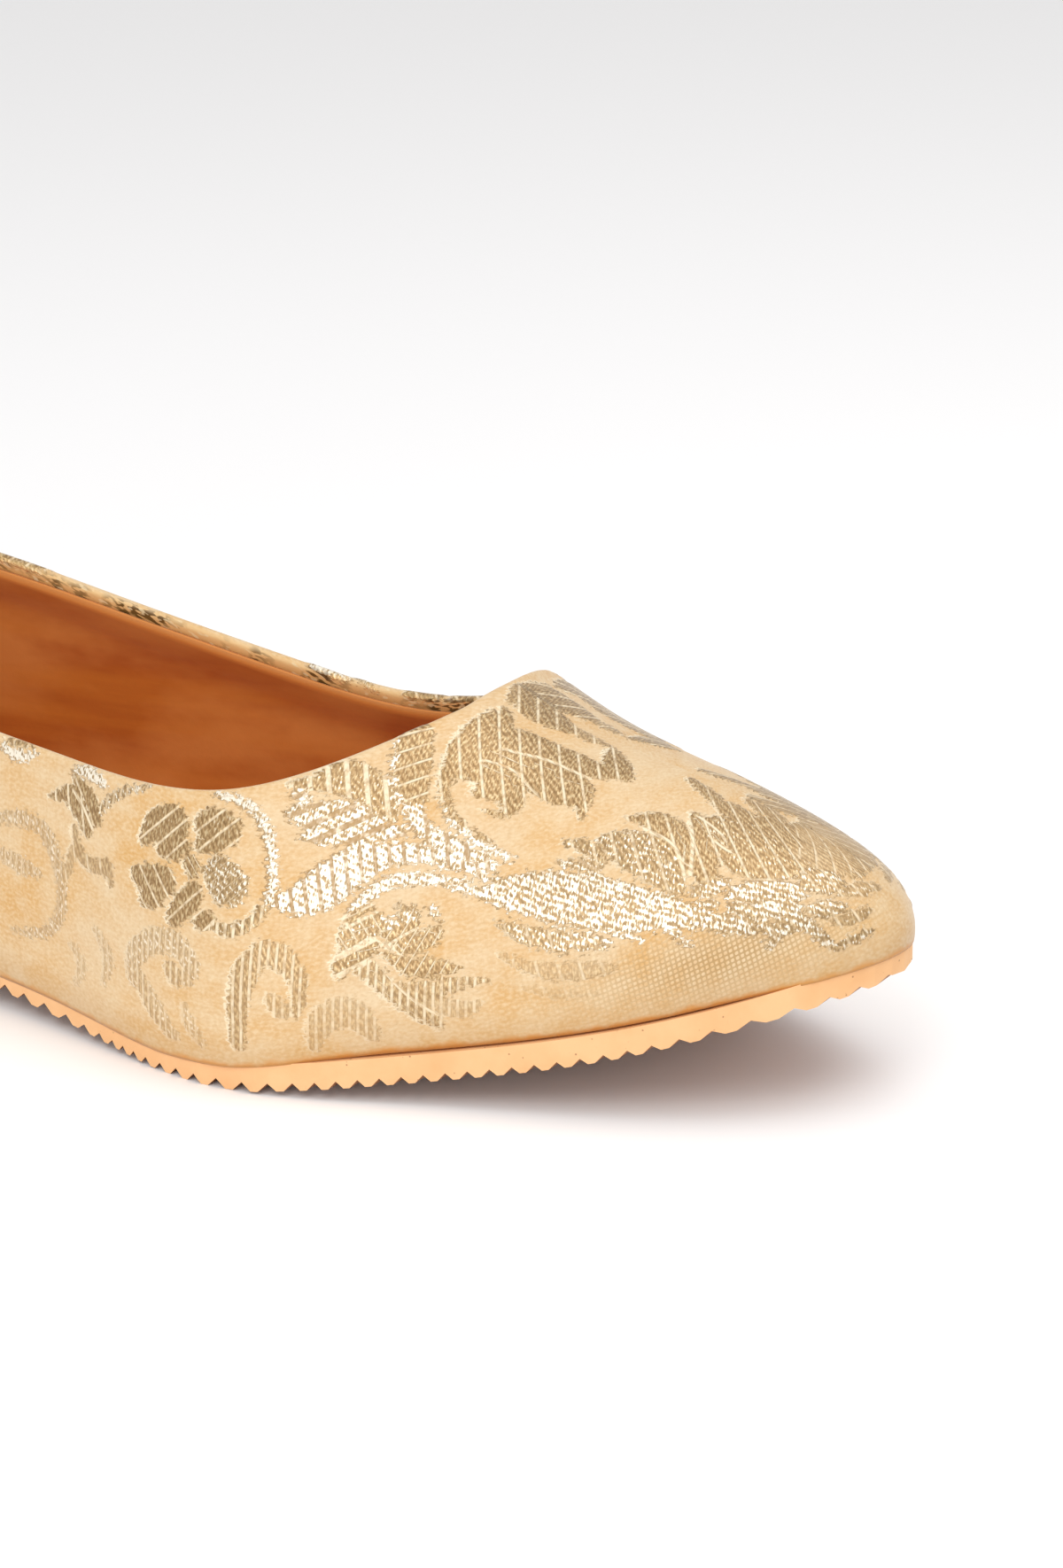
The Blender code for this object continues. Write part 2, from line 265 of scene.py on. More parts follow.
def ridge_place(x):
    """Place along the ridge where the section that starts at x on the outline ends."""
    return RIDGE_HEEL_SETBACK + x / SOLE_LENGTH * (SOLE_LENGTH - RIDGE_HEEL_SETBACK - RIDGE_TOE_SETBACK)


def collar_height(x, sides):
    """Height of the top line. Past the table it rises on, so it crosses the ridge only once."""
    share = x / SOLE_LENGTH
    inside = np.minimum(share, COLLAR[-1, 0])
    return INSTEP_HEIGHT * by_side(COLLAR, inside, sides) + (share - inside) * SOLE_LENGTH


print("sole's top at the toe tip:", round(float(sole_top(SOLE_LENGTH)) / MM, 1), "mm above the floor")

# %% Sections from the feather edge to the ridge
SLOPE_STEP = 0.5 * MM


def section_handles(angles, sides):
    """Four Bezier points of each section: feather edge, belly, shoulder and ridge."""
    share = length_share(angles)
    normals = outline_normals(angles, sides)
    feather = outline_points(angles, sides) - normals * FEATHER_INSET
    feather[:, 2] = sole_top(feather[:, 0]) + GAP
    crest_x = ridge_place(share * SOLE_LENGTH)
    crest = np.stack([crest_x, np.zeros_like(crest_x), ridge_height(crest_x)], axis=-1)
    belly = feather + normals * column(SECTION, 1, share)[:, None]
    belly[:, 2] += column(SECTION, 2, share) * (crest[:, 2] - feather[:, 2])
    reach = (feather - crest) * column(SECTION, 3, share)[:, None]
    slope = (ridge_height(crest_x + SLOPE_STEP) - ridge_height(crest_x - SLOPE_STEP)) / (2 * SLOPE_STEP)
    shoulder = crest + np.stack([reach[:, 0], reach[:, 1], reach[:, 0] * slope], axis=-1)
    return feather, belly, shoulder, crest


def section_points(handles, shares):
    """Point of each section at its own share, or at a row of shares when shares has two axes."""
    if np.ndim(shares) == 2:
        handles = [handle[:, None, :] for handle in handles]
    share = np.asarray(shares)[..., None]
    rest = 1 - share
    feather, belly, shoulder, crest = handles
    low = feather * rest**3 + belly * (3 * rest * rest * share)
    return low + shoulder * (3 * rest * share * share) + crest * share**3


middle_crest = section_handles(np.array([math.pi / 2]), np.array([MEDIAL]))[3]
print("middle section ends", round(float(middle_crest[0, 2]) / MM, 1), "mm above the floor")

# %% Where the sections meet the collar
HALVINGS = 40


def top_shares(angles, sides, drop):
    """Share of each section below a line that lies a drop under the collar, 1 where it meets the ridge.
    The drop is a function of the share of the length."""
    handles = section_handles(angles, sides)
    lowered = drop(length_share(angles))

    def above(shares):
        points = section_points(handles, shares)
        return points[:, 2] - collar_height(points[:, 0], sides) + lowered

    low = np.zeros(len(sides))
    high = np.ones(len(sides))
    free = above(high) <= 0
    for _ in range(HALVINGS):
        middle = (low + high) / 2
        over = above(middle) > 0
        high = np.where(over, middle, high)
        low = np.where(over, low, middle)
    return np.where(free, 1.0, (low + high) / 2)


def throat_angle(drop):
    """Angle of the first section, seen from the toe, that still ends on the line under the collar."""
    low, high = math.pi / 2, math.pi
    for _ in range(HALVINGS):
        middle = (low + high) / 2
        if top_shares(np.array([middle]), np.array([MEDIAL]), drop)[0] < 1.0:
            low = middle
        else:
            high = middle
    return high


def collar_line(share):
    """A line that lies no drop under the collar."""
    return np.zeros_like(share)


print("throat at", round(float(throat_angle(collar_line)), 4), "rad round the outline")

# %% Even columns and rows
FINE_ANGLES = 1200
FINE_SHARES = 161


def walked_along(points, axis=0):
    """Length walked from the start of a line of points, or of each row of a grid."""
    steps = np.linalg.norm(np.diff(points, axis=axis), axis=-1)
    return np.insert(np.cumsum(steps, axis=axis), 0, 0.0, axis=axis)


def spaced_angles(start, end, side, count):
    """Angles from start to end whose points on the feather edge are evenly spaced."""
    fine = np.linspace(start, end, FINE_ANGLES)
    feather = section_handles(fine, np.full(len(fine), side))[0]
    walked = walked_along(feather)
    return np.interp(np.linspace(0.0, walked[-1], count + 1), walked, fine)


def stations(throat, counts):
    """Angles and sides from the toe tip over the medial side to the heel, and back on the lateral side.
    Counts are the columns of each toe half, of the inner side and of the back on either side."""
    toe_count, side_count, medial_back, lateral_back = counts
    toe = spaced_angles(math.pi, throat, MEDIAL, toe_count)
    side = spaced_angles(throat, SIDE_END, MEDIAL, side_count)
    back = spaced_angles(SIDE_END, 0.0, MEDIAL, medial_back)
    medial = np.concatenate([toe, side[1:], back[1:]])
    lateral = np.concatenate([toe, spaced_angles(throat, 0.0, LATERAL, lateral_back)[1:]])
    angles = np.concatenate([medial, lateral[-2::-1]])
    sides = np.concatenate([np.full(len(medial), MEDIAL), np.full(len(lateral) - 1, LATERAL)])
    return angles, sides


def even_rows(handles, tops, count):
    """Points of each section at even steps of its own length, from the feather edge to its top."""
    fine = np.linspace(0.0, 1.0, FINE_SHARES)
    points = section_points(handles, tops[:, None] * fine)
    walked = walked_along(points, 1)
    shares = np.array([
        np.interp(np.linspace(0.0, way[-1], count + 1), way, top * fine) for way, top in zip(walked, tops)
    ])
    rows = section_points(handles, shares)
    return rows, walked[:, -1]


print("four even columns of the front half:", np.round(spaced_angles(math.pi, math.pi / 2, MEDIAL, 4), 2))

# %% [markdown]
# ## Brocade upper
# The upper is one piece of brocade, pulled over the last and turned under at both edges: below it is
# cemented to the sole along the lasting margin, and at the collar it rolls over and goes down inside as
# a narrow turn-in. A grid of cloth is the natural start. Its columns stand on the feather edge and its
# rows follow the edge round the shoe. Ahead of the throat the two sides meet on the ridge, so their
# vertices are merged there.
# %% Cloth sizes
TINY = 1e-12
CLOTH = 0.6 * MM
COLLAR_ROLL = 0.8 * MM
TURN_IN = 4.4 * MM
TURN_IN_SAG = 1 / (60 * MM)
TOE_COLUMNS = 98
SIDE_COLUMNS = 118
BACK_COLUMNS = (118, 190)
WALL_ROWS = 60
ROLL_ROWS = 6
TURN_IN_ROWS = 6
TUCK_DEPTHS = (LASTING_MARGIN, 3.0 * MM, 0.9 * MM)
CLOTH_SPAN = 600 * MM
FEATHER_UP = 12.0
HEEL_CENTRE = 40 * MM
OVERLAP_OUT = FEATHER_INSET + 0.15 * MM
OVERLAP_BLEND = 0.6 * MM
# Share of the length, how far the cloth comes down over the side of the sole, which is thin at the waist
OVERLAP = np.array([
    (0.00, 0.0), (0.12, 0.0), (0.22, 0.3 * MM), (0.34, 1.7 * MM), (0.46, 2.1 * MM),
    (0.54, 1.6 * MM), (0.60, 1.4 * MM), (0.65, 1.1 * MM), (0.70, 0.5 * MM), (0.76, 0.0),
    (0.92, 0.0), (0.97, 0.5 * MM), (1.00, 1.3 * MM),
])


def smooth(values, low, high):
    """0 up to low, 1 from high on, with a soft rise between."""
    share = np.clip((values - low) / (high - low), 0.0, 1.0)
    return share * share * (3 - 2 * share)


def unit(vectors):
    """Vectors of length one."""
    return vectors / np.maximum(np.linalg.norm(vectors, axis=-1, keepdims=True), TINY)


def overlap(angles):
    """How far the cloth comes down over the side of the sole at each station."""
    return np.maximum(column(OVERLAP, 1, length_share(angles)), 0.0)


def over_the_sole(handles, angles, sides):
    """Handles whose feather edge is drawn out and down over the side of the sole."""
    lowered = overlap(angles)
    out = OVERLAP_OUT * smooth(lowered, 0.0, OVERLAP_BLEND)
    feather = handles[0] + outline_normals(angles, sides) * out[:, None]
    feather[:, 2] -= lowered
    return (feather, *handles[1:])


print("cloth comes down over the sole's side by up to", round(float(OVERLAP[:, 1].max()) / MM, 1), "mm")

# %% Edges that are turned under
FACE_SMOOTHING = 6
LEVEL_TIE = 1e-9
THROAT_FACE = np.array([0.45, 0.0, 1.0])


def roll_line(share):
    """The wall of the cloth ends one roll below the collar, so that the rolled edge lies on it."""
    return np.full_like(share, COLLAR_ROLL)


def tuck_points(handles):
    """Rows that the lasting margin adds under the feather edge, from its inner edge outwards."""
    feather, _, _, crest = handles
    inward = (crest - feather) * (1, 1, 0)
    rows = [feather + unit(inward) * depth for depth in TUCK_DEPTHS]
    for row in rows:
        row[:, 2] = sole_top(row[:, 0]) + GAP
    return np.stack(rows, axis=1)


def collar_frame(wall, throat_columns):
    """Two directions on the collar: out of the cloth's face, and past its cut edge."""
    first, last = throat_columns
    top = wall[:, -1]
    along = np.gradient(top[first:last + 1], axis=0)
    down = top - wall[:, -4]
    face = np.cross(unit(along), unit(down[first:last + 1]))
    centre = top[first:last + 1] * (1, 0, 0)
    centre[:, 0] = np.maximum(centre[:, 0], HEEL_CENTRE)
    face *= np.sign(np.sum(face * (top[first:last + 1] - centre), axis=-1, keepdims=True))
    face[0] = face[-1] = unit(THROAT_FACE)
    along[0] = along[-1] = (0.0, 1.0, 0.0)
    for _ in range(FACE_SMOOTHING):
        face[1:-1] = unit(face[:-2] + 2 * face[1:-1] + face[2:])
    past = unit(np.cross(unit(along), face))
    past *= np.sign(past[:, 2:3] + LEVEL_TIE)
    return unit(face), past


def collar_rows(wall, throat_columns):
    """Rows of the roll over the collar's edge and of the turn-in, for the columns behind the throat."""
    first, last = throat_columns
    face, past = collar_frame(wall, throat_columns)
    edge = wall[first:last + 1, -1]
    rows = []
    for turn in np.linspace(0.0, math.pi, ROLL_ROWS + 1)[1:]:
        rows.append(edge + past * COLLAR_ROLL * math.sin(turn) - face * COLLAR_ROLL * (1 - math.cos(turn)))
    for depth in np.linspace(0.0, TURN_IN, TURN_IN_ROWS + 1)[1:]:
        rows.append(edge - past * depth - face * (2 * COLLAR_ROLL + depth * depth * TURN_IN_SAG))
    turned = np.repeat(wall[:, -1:], len(rows), axis=1)
    turned[first:last + 1] = np.stack(rows, axis=1)
    return turned


print("turn-in:", round(TURN_IN / MM, 1), "mm of cloth behind the rolled collar")

# %% Grid of the whole cloth
def cloth_grid():
    """Points of the cloth as columns and rows, with the cloth's own coordinates: round and up."""
    throat = throat_angle(roll_line)
    angles, sides = stations(throat, (TOE_COLUMNS, SIDE_COLUMNS, *BACK_COLUMNS))
    handles = section_handles(angles, sides)
    tops = top_shares(angles, sides, roll_line)
    wall, _ = even_rows(over_the_sole(handles, angles, sides), tops, WALL_ROWS)
    throat_columns = (TOE_COLUMNS, len(angles) - 1 - TOE_COLUMNS)
    turned = collar_rows(wall, throat_columns)
    grid = np.concatenate([tuck_points(handles), wall, turned], axis=1)
    feather_row = len(TUCK_DEPTHS)
    round_shoe = walked_along(handles[0])
    climbed = walked_along(grid, 1)
    lowered = overlap(angles)
    up_wall = climbed - climbed[:, feather_row:feather_row + 1] - lowered[:, None]
    grid[..., 0] -= CENTRE_X
    return grid, round_shoe, up_wall, lowered, throat_columns


grid, round_shoe, up_wall, lowered, throat_columns = cloth_grid()
print("cloth:", grid.shape[0], "columns,", grid.shape[1], "rows,", round(round_shoe[-1] / MM, 1), "mm round")

# %% Lay the cloth
SAME_PLACE = 0.02 * MM
INSIDE_SHOE = Vector((0, 0, 20 * MM))


def place_grid(name, points, cloth_map=None, skip=None):
    """Mesh of a grid of points [column, row], with an optional map [column, row] as its UVs.
    Faces for whose lowest column and row skip is true are left out."""
    columns, rows = points.shape[:2]
    sheet = bmesh.new()
    bmesh.ops.create_grid(sheet, x_segments=columns - 1, y_segments=rows - 1, size=1.0)
    seat = {}
    for vertex in sheet.verts:
        across = round((vertex.co.x + 1) / 2 * (columns - 1))
        up = round((vertex.co.y + 1) / 2 * (rows - 1))
        seat[vertex] = (across, up)
        vertex.co = points[across, up]
    if cloth_map is not None:
        layer = sheet.loops.layers.uv.new("cloth")
        for face in sheet.faces:
            for loop in face.loops:
                loop[layer].uv = cloth_map[seat[loop.vert]]
    if skip is not None:
        away = []
        for face in sheet.faces:
            low = np.min([seat[vertex] for vertex in face.verts], axis=0)
            if skip(*low):
                away.append(face)
        bmesh.ops.delete(sheet, geom=away, context="FACES")
    bmesh.ops.remove_doubles(sheet, verts=sheet.verts, dist=SAME_PLACE)
    bmesh.ops.recalc_face_normals(sheet, faces=sheet.faces)
    mesh = bpy.data.meshes.new(name)
    sheet.to_mesh(mesh)
    sheet.free()
    return mesh


def add_piece(name, mesh, material):
    """Object at the origin that rides on the shoe's one body."""
    piece = bpy.data.objects.new(name, mesh)
    piece.data.materials.append(material)
    bpy.context.scene.collection.objects.link(piece)
    piece.data.shade_smooth()
    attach(piece, ROOT)
    return piece


def add_thickness(piece, thickness):
    """Give a sheet its thickness, away from its face."""
    shell = piece.modifiers.new("thickness", "SOLIDIFY")
    shell.thickness = thickness
    shell.offset = -1.0
    shell.use_rim = True


def face_outwards(mesh, inside):
    """Turn the whole sheet over if its first face looks towards the point inside."""
    face = mesh.polygons[len(mesh.polygons) // 3]
    if (face.center - inside).dot(face.normal) < 0:
        mesh.flip_normals()


def ahead_of_throat(across, up):
    """Faces of the turn-in that would lie where there is no collar."""
    first, last = throat_columns
    return up >= len(TUCK_DEPTHS) + WALL_ROWS and not first <= across < last


cloth_map = np.stack([np.repeat(round_shoe[:, None], grid.shape[1], axis=1), up_wall], axis=-1) / CLOTH_SPAN
cloth_map[..., 1] += FEATHER_UP * MM / CLOTH_SPAN
upper_mesh = place_grid("brocade_upper", grid, cloth_map, ahead_of_throat)
print("upper:", len(upper_mesh.vertices), "vertices,", len(upper_mesh.polygons), "faces")

# %% [markdown]
# ## Chart of the brocade
# A weaver draws the figures of a brocade on squared paper before the loom is set up. This chart does the
# same with brush strokes. Each stroke is a line of places on the cloth, in millimetres: first the way
# round the shoe from the toe tip, then the way up from the feather edge. Each place has half a width, so
# that a stroke swells into a leaf and thins to a tip. The fine ribs inside a figure run one way per
# stroke. Silver says how much of it is picked out in pale thread: paler silvery metal thread, and
# painted highlights where the metal thread would catch the light.
# %% Chart: how a stroke is written
# Directions of the ribs in degrees and their spacing in millimetres
WARP = (108.8, 2.73)
LEAF_WARP = (108.4, 2.387)
STEM_WARP = (106.0, 1.9)
FINE_WARP = (75.0, 0.95)
CROSS = (20.0, 2.66)
DIAGONAL = (45.0, 2.3)
SHALLOW = (22.7, 2.45)
COMB = (90.0, 1.15)
UPRIGHT = (90.0, 1.2)
FINE_UPRIGHT = (90.0, 1.1)
STEEP = (60.0, 1.6)
TOE_TIP = (60.0, 3.4)
LEAF_BACK = (125.0, 1.6)
BACKWARD = (135.0, 2.3)
WIDE_BACKWARD = (135.0, 2.6)
RING = (11.0, 1.6)
PETAL = (45.0, 0.9)
HEART = (135.0, 0.9)


def stroke(places, widths, ribs=WARP, silver_and_glint=0.0, show=1.0, kind="figure"):
    """One brush stroke. Ribs are the direction of the rib lines in degrees and their spacing in mm.
    A hole opens a figure down to the ground, and a line is a single open thread line across it."""
    return {"places": places, "widths": widths, "ribs": ribs, "silver_and_glint": silver_and_glint, "show": show, "kind": kind}


def line(places, half_width=0.17):
    """An open thread line of even width."""
    return stroke(places, [half_width] * len(places), kind="line")


print("ribs of the vamp:", WARP[1], "mm apart, of the toe's comb leaves:", COMB[1], "mm")

# %% Chart: curl and crest leaves on the vamp
BIG_CURL = [
    stroke([(61.5, 28.3), (65, 30.4), (67.6, 32.6), (69.4, 35.6), (70, 38.5), (69.9, 41.2)],
           [0.25, 0.45, 0.6, 0.75, 0.85, 1.0]),
    stroke([(67.4, 51), (66.6, 49), (67, 46.5), (68.3, 43.5), (68.6, 41)], [0.3, 1.2, 2.4, 2.3, 2.1]),
    stroke([(68.5, 42), (65.5, 42.6), (62.5, 41.7), (60, 40.7), (57.5, 38.9), (55, 37.4), (52.5, 36),
            (50.4, 35), (49.2, 33), (48.6, 30)],
           [2.2, 2.0, 1.6, 1.7, 2.6, 3.3, 3.1, 2.5, 1.0, 0.2]),
    stroke([(65.5, 45.5), (62, 45), (58.5, 43.8), (55, 42.2), (51.5, 40.7), (48.5, 39.2), (45.5, 38.2)],
           [2.3, 2.2, 2.1, 2.0, 1.9, 1.7, 1.0]),
    stroke([(66, 39.6), (63.8, 38.2), (62, 37.2), (60.3, 35.8), (59.4, 34.2), (59.8, 32.8), (61.3, 32.4),
            (63.2, 32.9)],
           [0.9, 2.0, 2.2, 2.2, 1.5, 0.9, 0.5, 0.25]),
    stroke([(65.4, 36), (63.6, 35.8), (62, 35.9)], [0.7, 1.1, 1.2]),
    stroke([(69.3, 34.2), (67.4, 31.6), (64.5, 29.2), (61, 27), (57.5, 25.2)],
           [0.2, 0.35, 0.45, 0.6, 0.4], silver_and_glint=0.95),
    stroke([(68.4, 39.6), (66.6, 39), (64.8, 38.2)], [1.2, 1.4, 1.4]),
    stroke([(67.8, 36.6), (66.2, 36.8)], [0.8, 0.9], kind="hole"),
    line([(66, 40.9), (64.9, 40.9), (62, 39.9), (59.6, 38.5), (57.7, 36.4), (56, 34.9)]),
    line([(63.2, 43.1), (60.6, 42.3), (57.3, 41.5), (53.4, 39.8), (50.1, 38), (47, 36.4)], 0.2),
]
CREST_LEAVES = [
    stroke([(66, 57.5), (65.3, 55.5), (65.6, 53)], [0.9, 1.3, 0.5], show=0.85),
    stroke([(64, 56), (62, 53.5), (59.5, 51.5), (57, 50), (55, 48.6)], [2.2, 3.2, 2.6, 2.0, 1.2]),
    stroke([(65.8, 51.3), (65, 49.5), (64.8, 47)], [0.4, 1.2, 1.5]),
    stroke([(54.5, 48.8), (51.5, 47), (48.5, 45.6)], [0.9, 1.1, 0.6], show=0.8),
    stroke([(47, 45), (46, 42), (44.8, 39.5), (43, 37.3)], [0.3, 1.6, 2.0, 0.9]),
]
print("strokes of the curl and its leaves:", len(BIG_CURL) + len(CREST_LEAVES))

# %% Chart: leaves, bands and stems under the collar
COLLAR_LEAF = [
    stroke([(90.6, 38.6), (88, 38.7), (85.5, 39.2)], [0.7, 1.0, 1.4], LEAF_WARP, silver_and_glint=0.2),
    stroke([(85.6, 39), (83.4, 39.2), (81.4, 38.4), (79.4, 36.8), (77.6, 35), (75.8, 32.8)],
           [2.0, 2.6, 2.5, 2.4, 1.9, 0.7], LEAF_WARP, silver_and_glint=0.2),
    stroke([(90, 37), (88.6, 36.8)], [0.5, 1.0], SHALLOW, silver_and_glint=0.9),
    stroke([(89.6, 34.4), (86.5, 34), (83, 33.9), (80, 32.9), (77, 31.4)],
           [0.9, 1.8, 2.0, 1.9, 1.0], SHALLOW, silver_and_glint=0.7),
    stroke([(87.4, 31.2), (84.5, 31), (81, 31), (77.5, 31), (74.5, 30.6)],
           [0.6, 1.2, 1.6, 1.5, 1.0], SHALLOW, silver_and_glint=0.75),
]
COLLAR_BAND = [
    stroke([(76.2, 47.5), (76, 45.5), (75.5, 43), (74.9, 40), (74.2, 37.5), (73.3, 35.5)],
           [1.8, 2.2, 2.5, 2.5, 2.1, 1.6], CROSS),
    stroke([(78.6, 44.6), (77.9, 41.5), (77.4, 39), (76.2, 36.6), (74.6, 34), (73, 32)],
           [0.2, 0.35, 0.4, 0.4, 0.4, 0.3], silver_and_glint=1.0),
    stroke([(73.2, 34), (72, 32), (70.5, 30.2), (68, 28.8), (65, 27.3), (62, 25.6), (60, 24.2)],
           [1.3, 1.2, 1.1, 1.1, 1.0, 0.9, 0.6], LEAF_WARP, silver_and_glint=0.8),
]
WHITE_STEM = [
    stroke([(90.6, 22.8), (88, 22.4), (85.5, 22.6), (83, 24.2), (80.5, 25.8), (78, 27.1), (75, 27.6),
            (71, 27.2), (67.5, 26.3), (64, 24.9), (60.8, 23)],
           [0.7, 1.5, 2.3, 2.9, 2.7, 2.3, 1.6, 1.2, 1.0, 0.8, 0.5], STEM_WARP, silver_and_glint=0.85),
    stroke([(79.4, 19.9), (78, 21.3), (76, 23), (73.5, 23.9), (70.5, 23.8), (67, 23.2), (63.5, 21.9),
            (60, 20.2), (57, 18.8)],
           [0.3, 0.7, 0.9, 0.8, 0.75, 0.75, 0.7, 0.6, 0.3], FINE_WARP, silver_and_glint=0.85),
]
print("strokes under the collar:", len(COLLAR_LEAF) + len(COLLAR_BAND) + len(WHITE_STEM))

# %% Chart: leaf cluster on the inner side
LEAF_CLUSTER = [
    stroke([(79.6, 15.6), (79, 17), (77, 17.8), (75.2, 18.8)],
           [0.6, 1.4, 1.6, 1.0], LEAF_BACK, silver_and_glint=0.25),
    stroke([(79.8, 11.6), (79.4, 13.2), (77.5, 14.6), (75.4, 15.6)],
           [0.6, 1.5, 1.6, 0.9], SHALLOW, silver_and_glint=0.1),
    stroke([(79.8, 19.2), (78, 20), (76, 20.9)], [0.4, 0.6, 0.3], SHALLOW),
    stroke([(75, 19.2), (73.6, 18), (72.6, 17)], [0.4, 0.9, 0.5], FINE_WARP, silver_and_glint=0.75),
    stroke([(72.4, 20.4), (71.5, 19), (72, 17)], [0.5, 1.0, 0.8], FINE_WARP, silver_and_glint=0.45),
    stroke([(70.3, 20), (70.2, 18.6)], [0.4, 0.8], FINE_WARP, silver_and_glint=0.4),
    stroke([(67.8, 19.6), (67.2, 18.8)], [0.5, 0.5], FINE_WARP, silver_and_glint=0.8),
    stroke([(74.6, 18.6), (73.4, 16.6), (71.5, 17.2), (69.8, 17.8)], [0.5, 0.7, 1.0, 0.6], STEEP),
    stroke([(73.4, 15.2), (71.5, 14.9), (69.5, 15.1), (67.5, 15.9), (66.3, 17)],
           [0.5, 1.1, 1.3, 1.3, 0.4], STEEP, silver_and_glint=0.1),
    stroke([(74.2, 13.9), (72.4, 13.2), (70, 11.9), (67.5, 11.8), (65, 11.5), (63, 11.1)],
           [0.3, 0.7, 1.2, 1.2, 0.8, 0.2], STEEP),
    stroke([(77.1, 11.8), (75.8, 12.2), (74.4, 10.8), (72.5, 8.9), (70, 7), (67.5, 5.2), (65.5, 3.4)],
           [0.5, 1.3, 1.4, 1.3, 1.4, 1.3, 0.5], COMB, show=0.85),
    stroke([(71, 9.6), (68.8, 8.6), (66, 8.7), (62.5, 9.2), (58.9, 8.9)],
           [0.5, 1.2, 1.2, 0.7, 0.3], COMB, show=0.85),
    stroke([(67.5, 6.8), (65, 6), (62, 5.6), (60, 6.4)], [0.5, 1.1, 1.2, 0.4], COMB, show=0.5),
    line([(79.8, 18), (77.5, 19), (75, 20.2)], 0.2),
    line([(79.8, 14.9), (77.8, 15.6), (76, 16.5), (74.6, 15.8), (73, 14.9), (71.6, 13.7)]),
    line([(77.6, 12.2), (76, 13.2), (74.4, 14.1), (73.2, 15.4), (70, 17), (67.3, 17.9)]),
    line([(74.6, 13), (73.3, 11.4), (71.7, 9.6), (69.3, 7.4), (67.1, 5.8), (64.5, 4.4)]),
]
LOW_LEAF = [
    stroke([(83, 2.2), (82.2, 5.2), (79.8, 6.6), (77, 5.8), (75, 3.2)],
           [0.9, 1.8, 2.2, 2.1, 1.2], COMB, show=0.5),
]
print("strokes of the leaf cluster:", len(LEAF_CLUSTER) + len(LOW_LEAF))

# %% Chart: band and spray on the toe
TOE_BAND = [
    stroke([(61, 21), (57.5, 20.6), (53.5, 20), (49, 18.8), (44.5, 17.4), (40, 15.9), (35.5, 14.6),
            (31.5, 13), (28.2, 11.6)],
           [0.6, 2.2, 3.0, 3.6, 3.6, 3.2, 2.3, 1.7, 1.0], silver_and_glint=0.66),
    stroke([(28.5, 11.4), (24.5, 10.2), (20.5, 8.6)], [1.1, 1.5, 0.8], silver_and_glint=0.55),
    stroke([(20.5, 6.6), (18.5, 8.2), (16, 8), (14.4, 6.6), (13, 4.6)],
           [0.6, 1.1, 1.0, 0.9, 0.8], silver_and_glint=0.5),
    stroke([(12.2, 3.4), (9, 3.6), (6.4, 3.6)], [0.4, 0.7, 0.4], silver_and_glint=0.35),
    stroke([(41.6, 12.6), (39.5, 12.2), (38, 11)], [0.3, 0.5, 0.2], silver_and_glint=0.9),
    stroke([(37.4, 12.8), (34.8, 12.3), (33, 10.6), (31, 9)], [0.3, 0.5, 0.4, 0.2], silver_and_glint=0.8),
    stroke([(49.5, 13.6), (46.5, 12.6), (43, 11.8)], [0.9, 1.2, 0.7], silver_and_glint=0.5),
    stroke([(58.6, 16.8), (55.5, 15.2), (52, 13.8), (49, 12.8)], [0.3, 1.0, 1.4, 1.2], silver_and_glint=0.4),
    stroke([(57.6, 12.4), (54.5, 10.8), (51, 9.4), (46, 8.8), (42, 8.4)],
           [0.3, 0.8, 1.1, 1.2, 0.5], show=0.6),
    stroke([(54, 7.6), (49, 6), (44, 5.6)], [0.3, 0.8, 0.3], show=0.3),
]
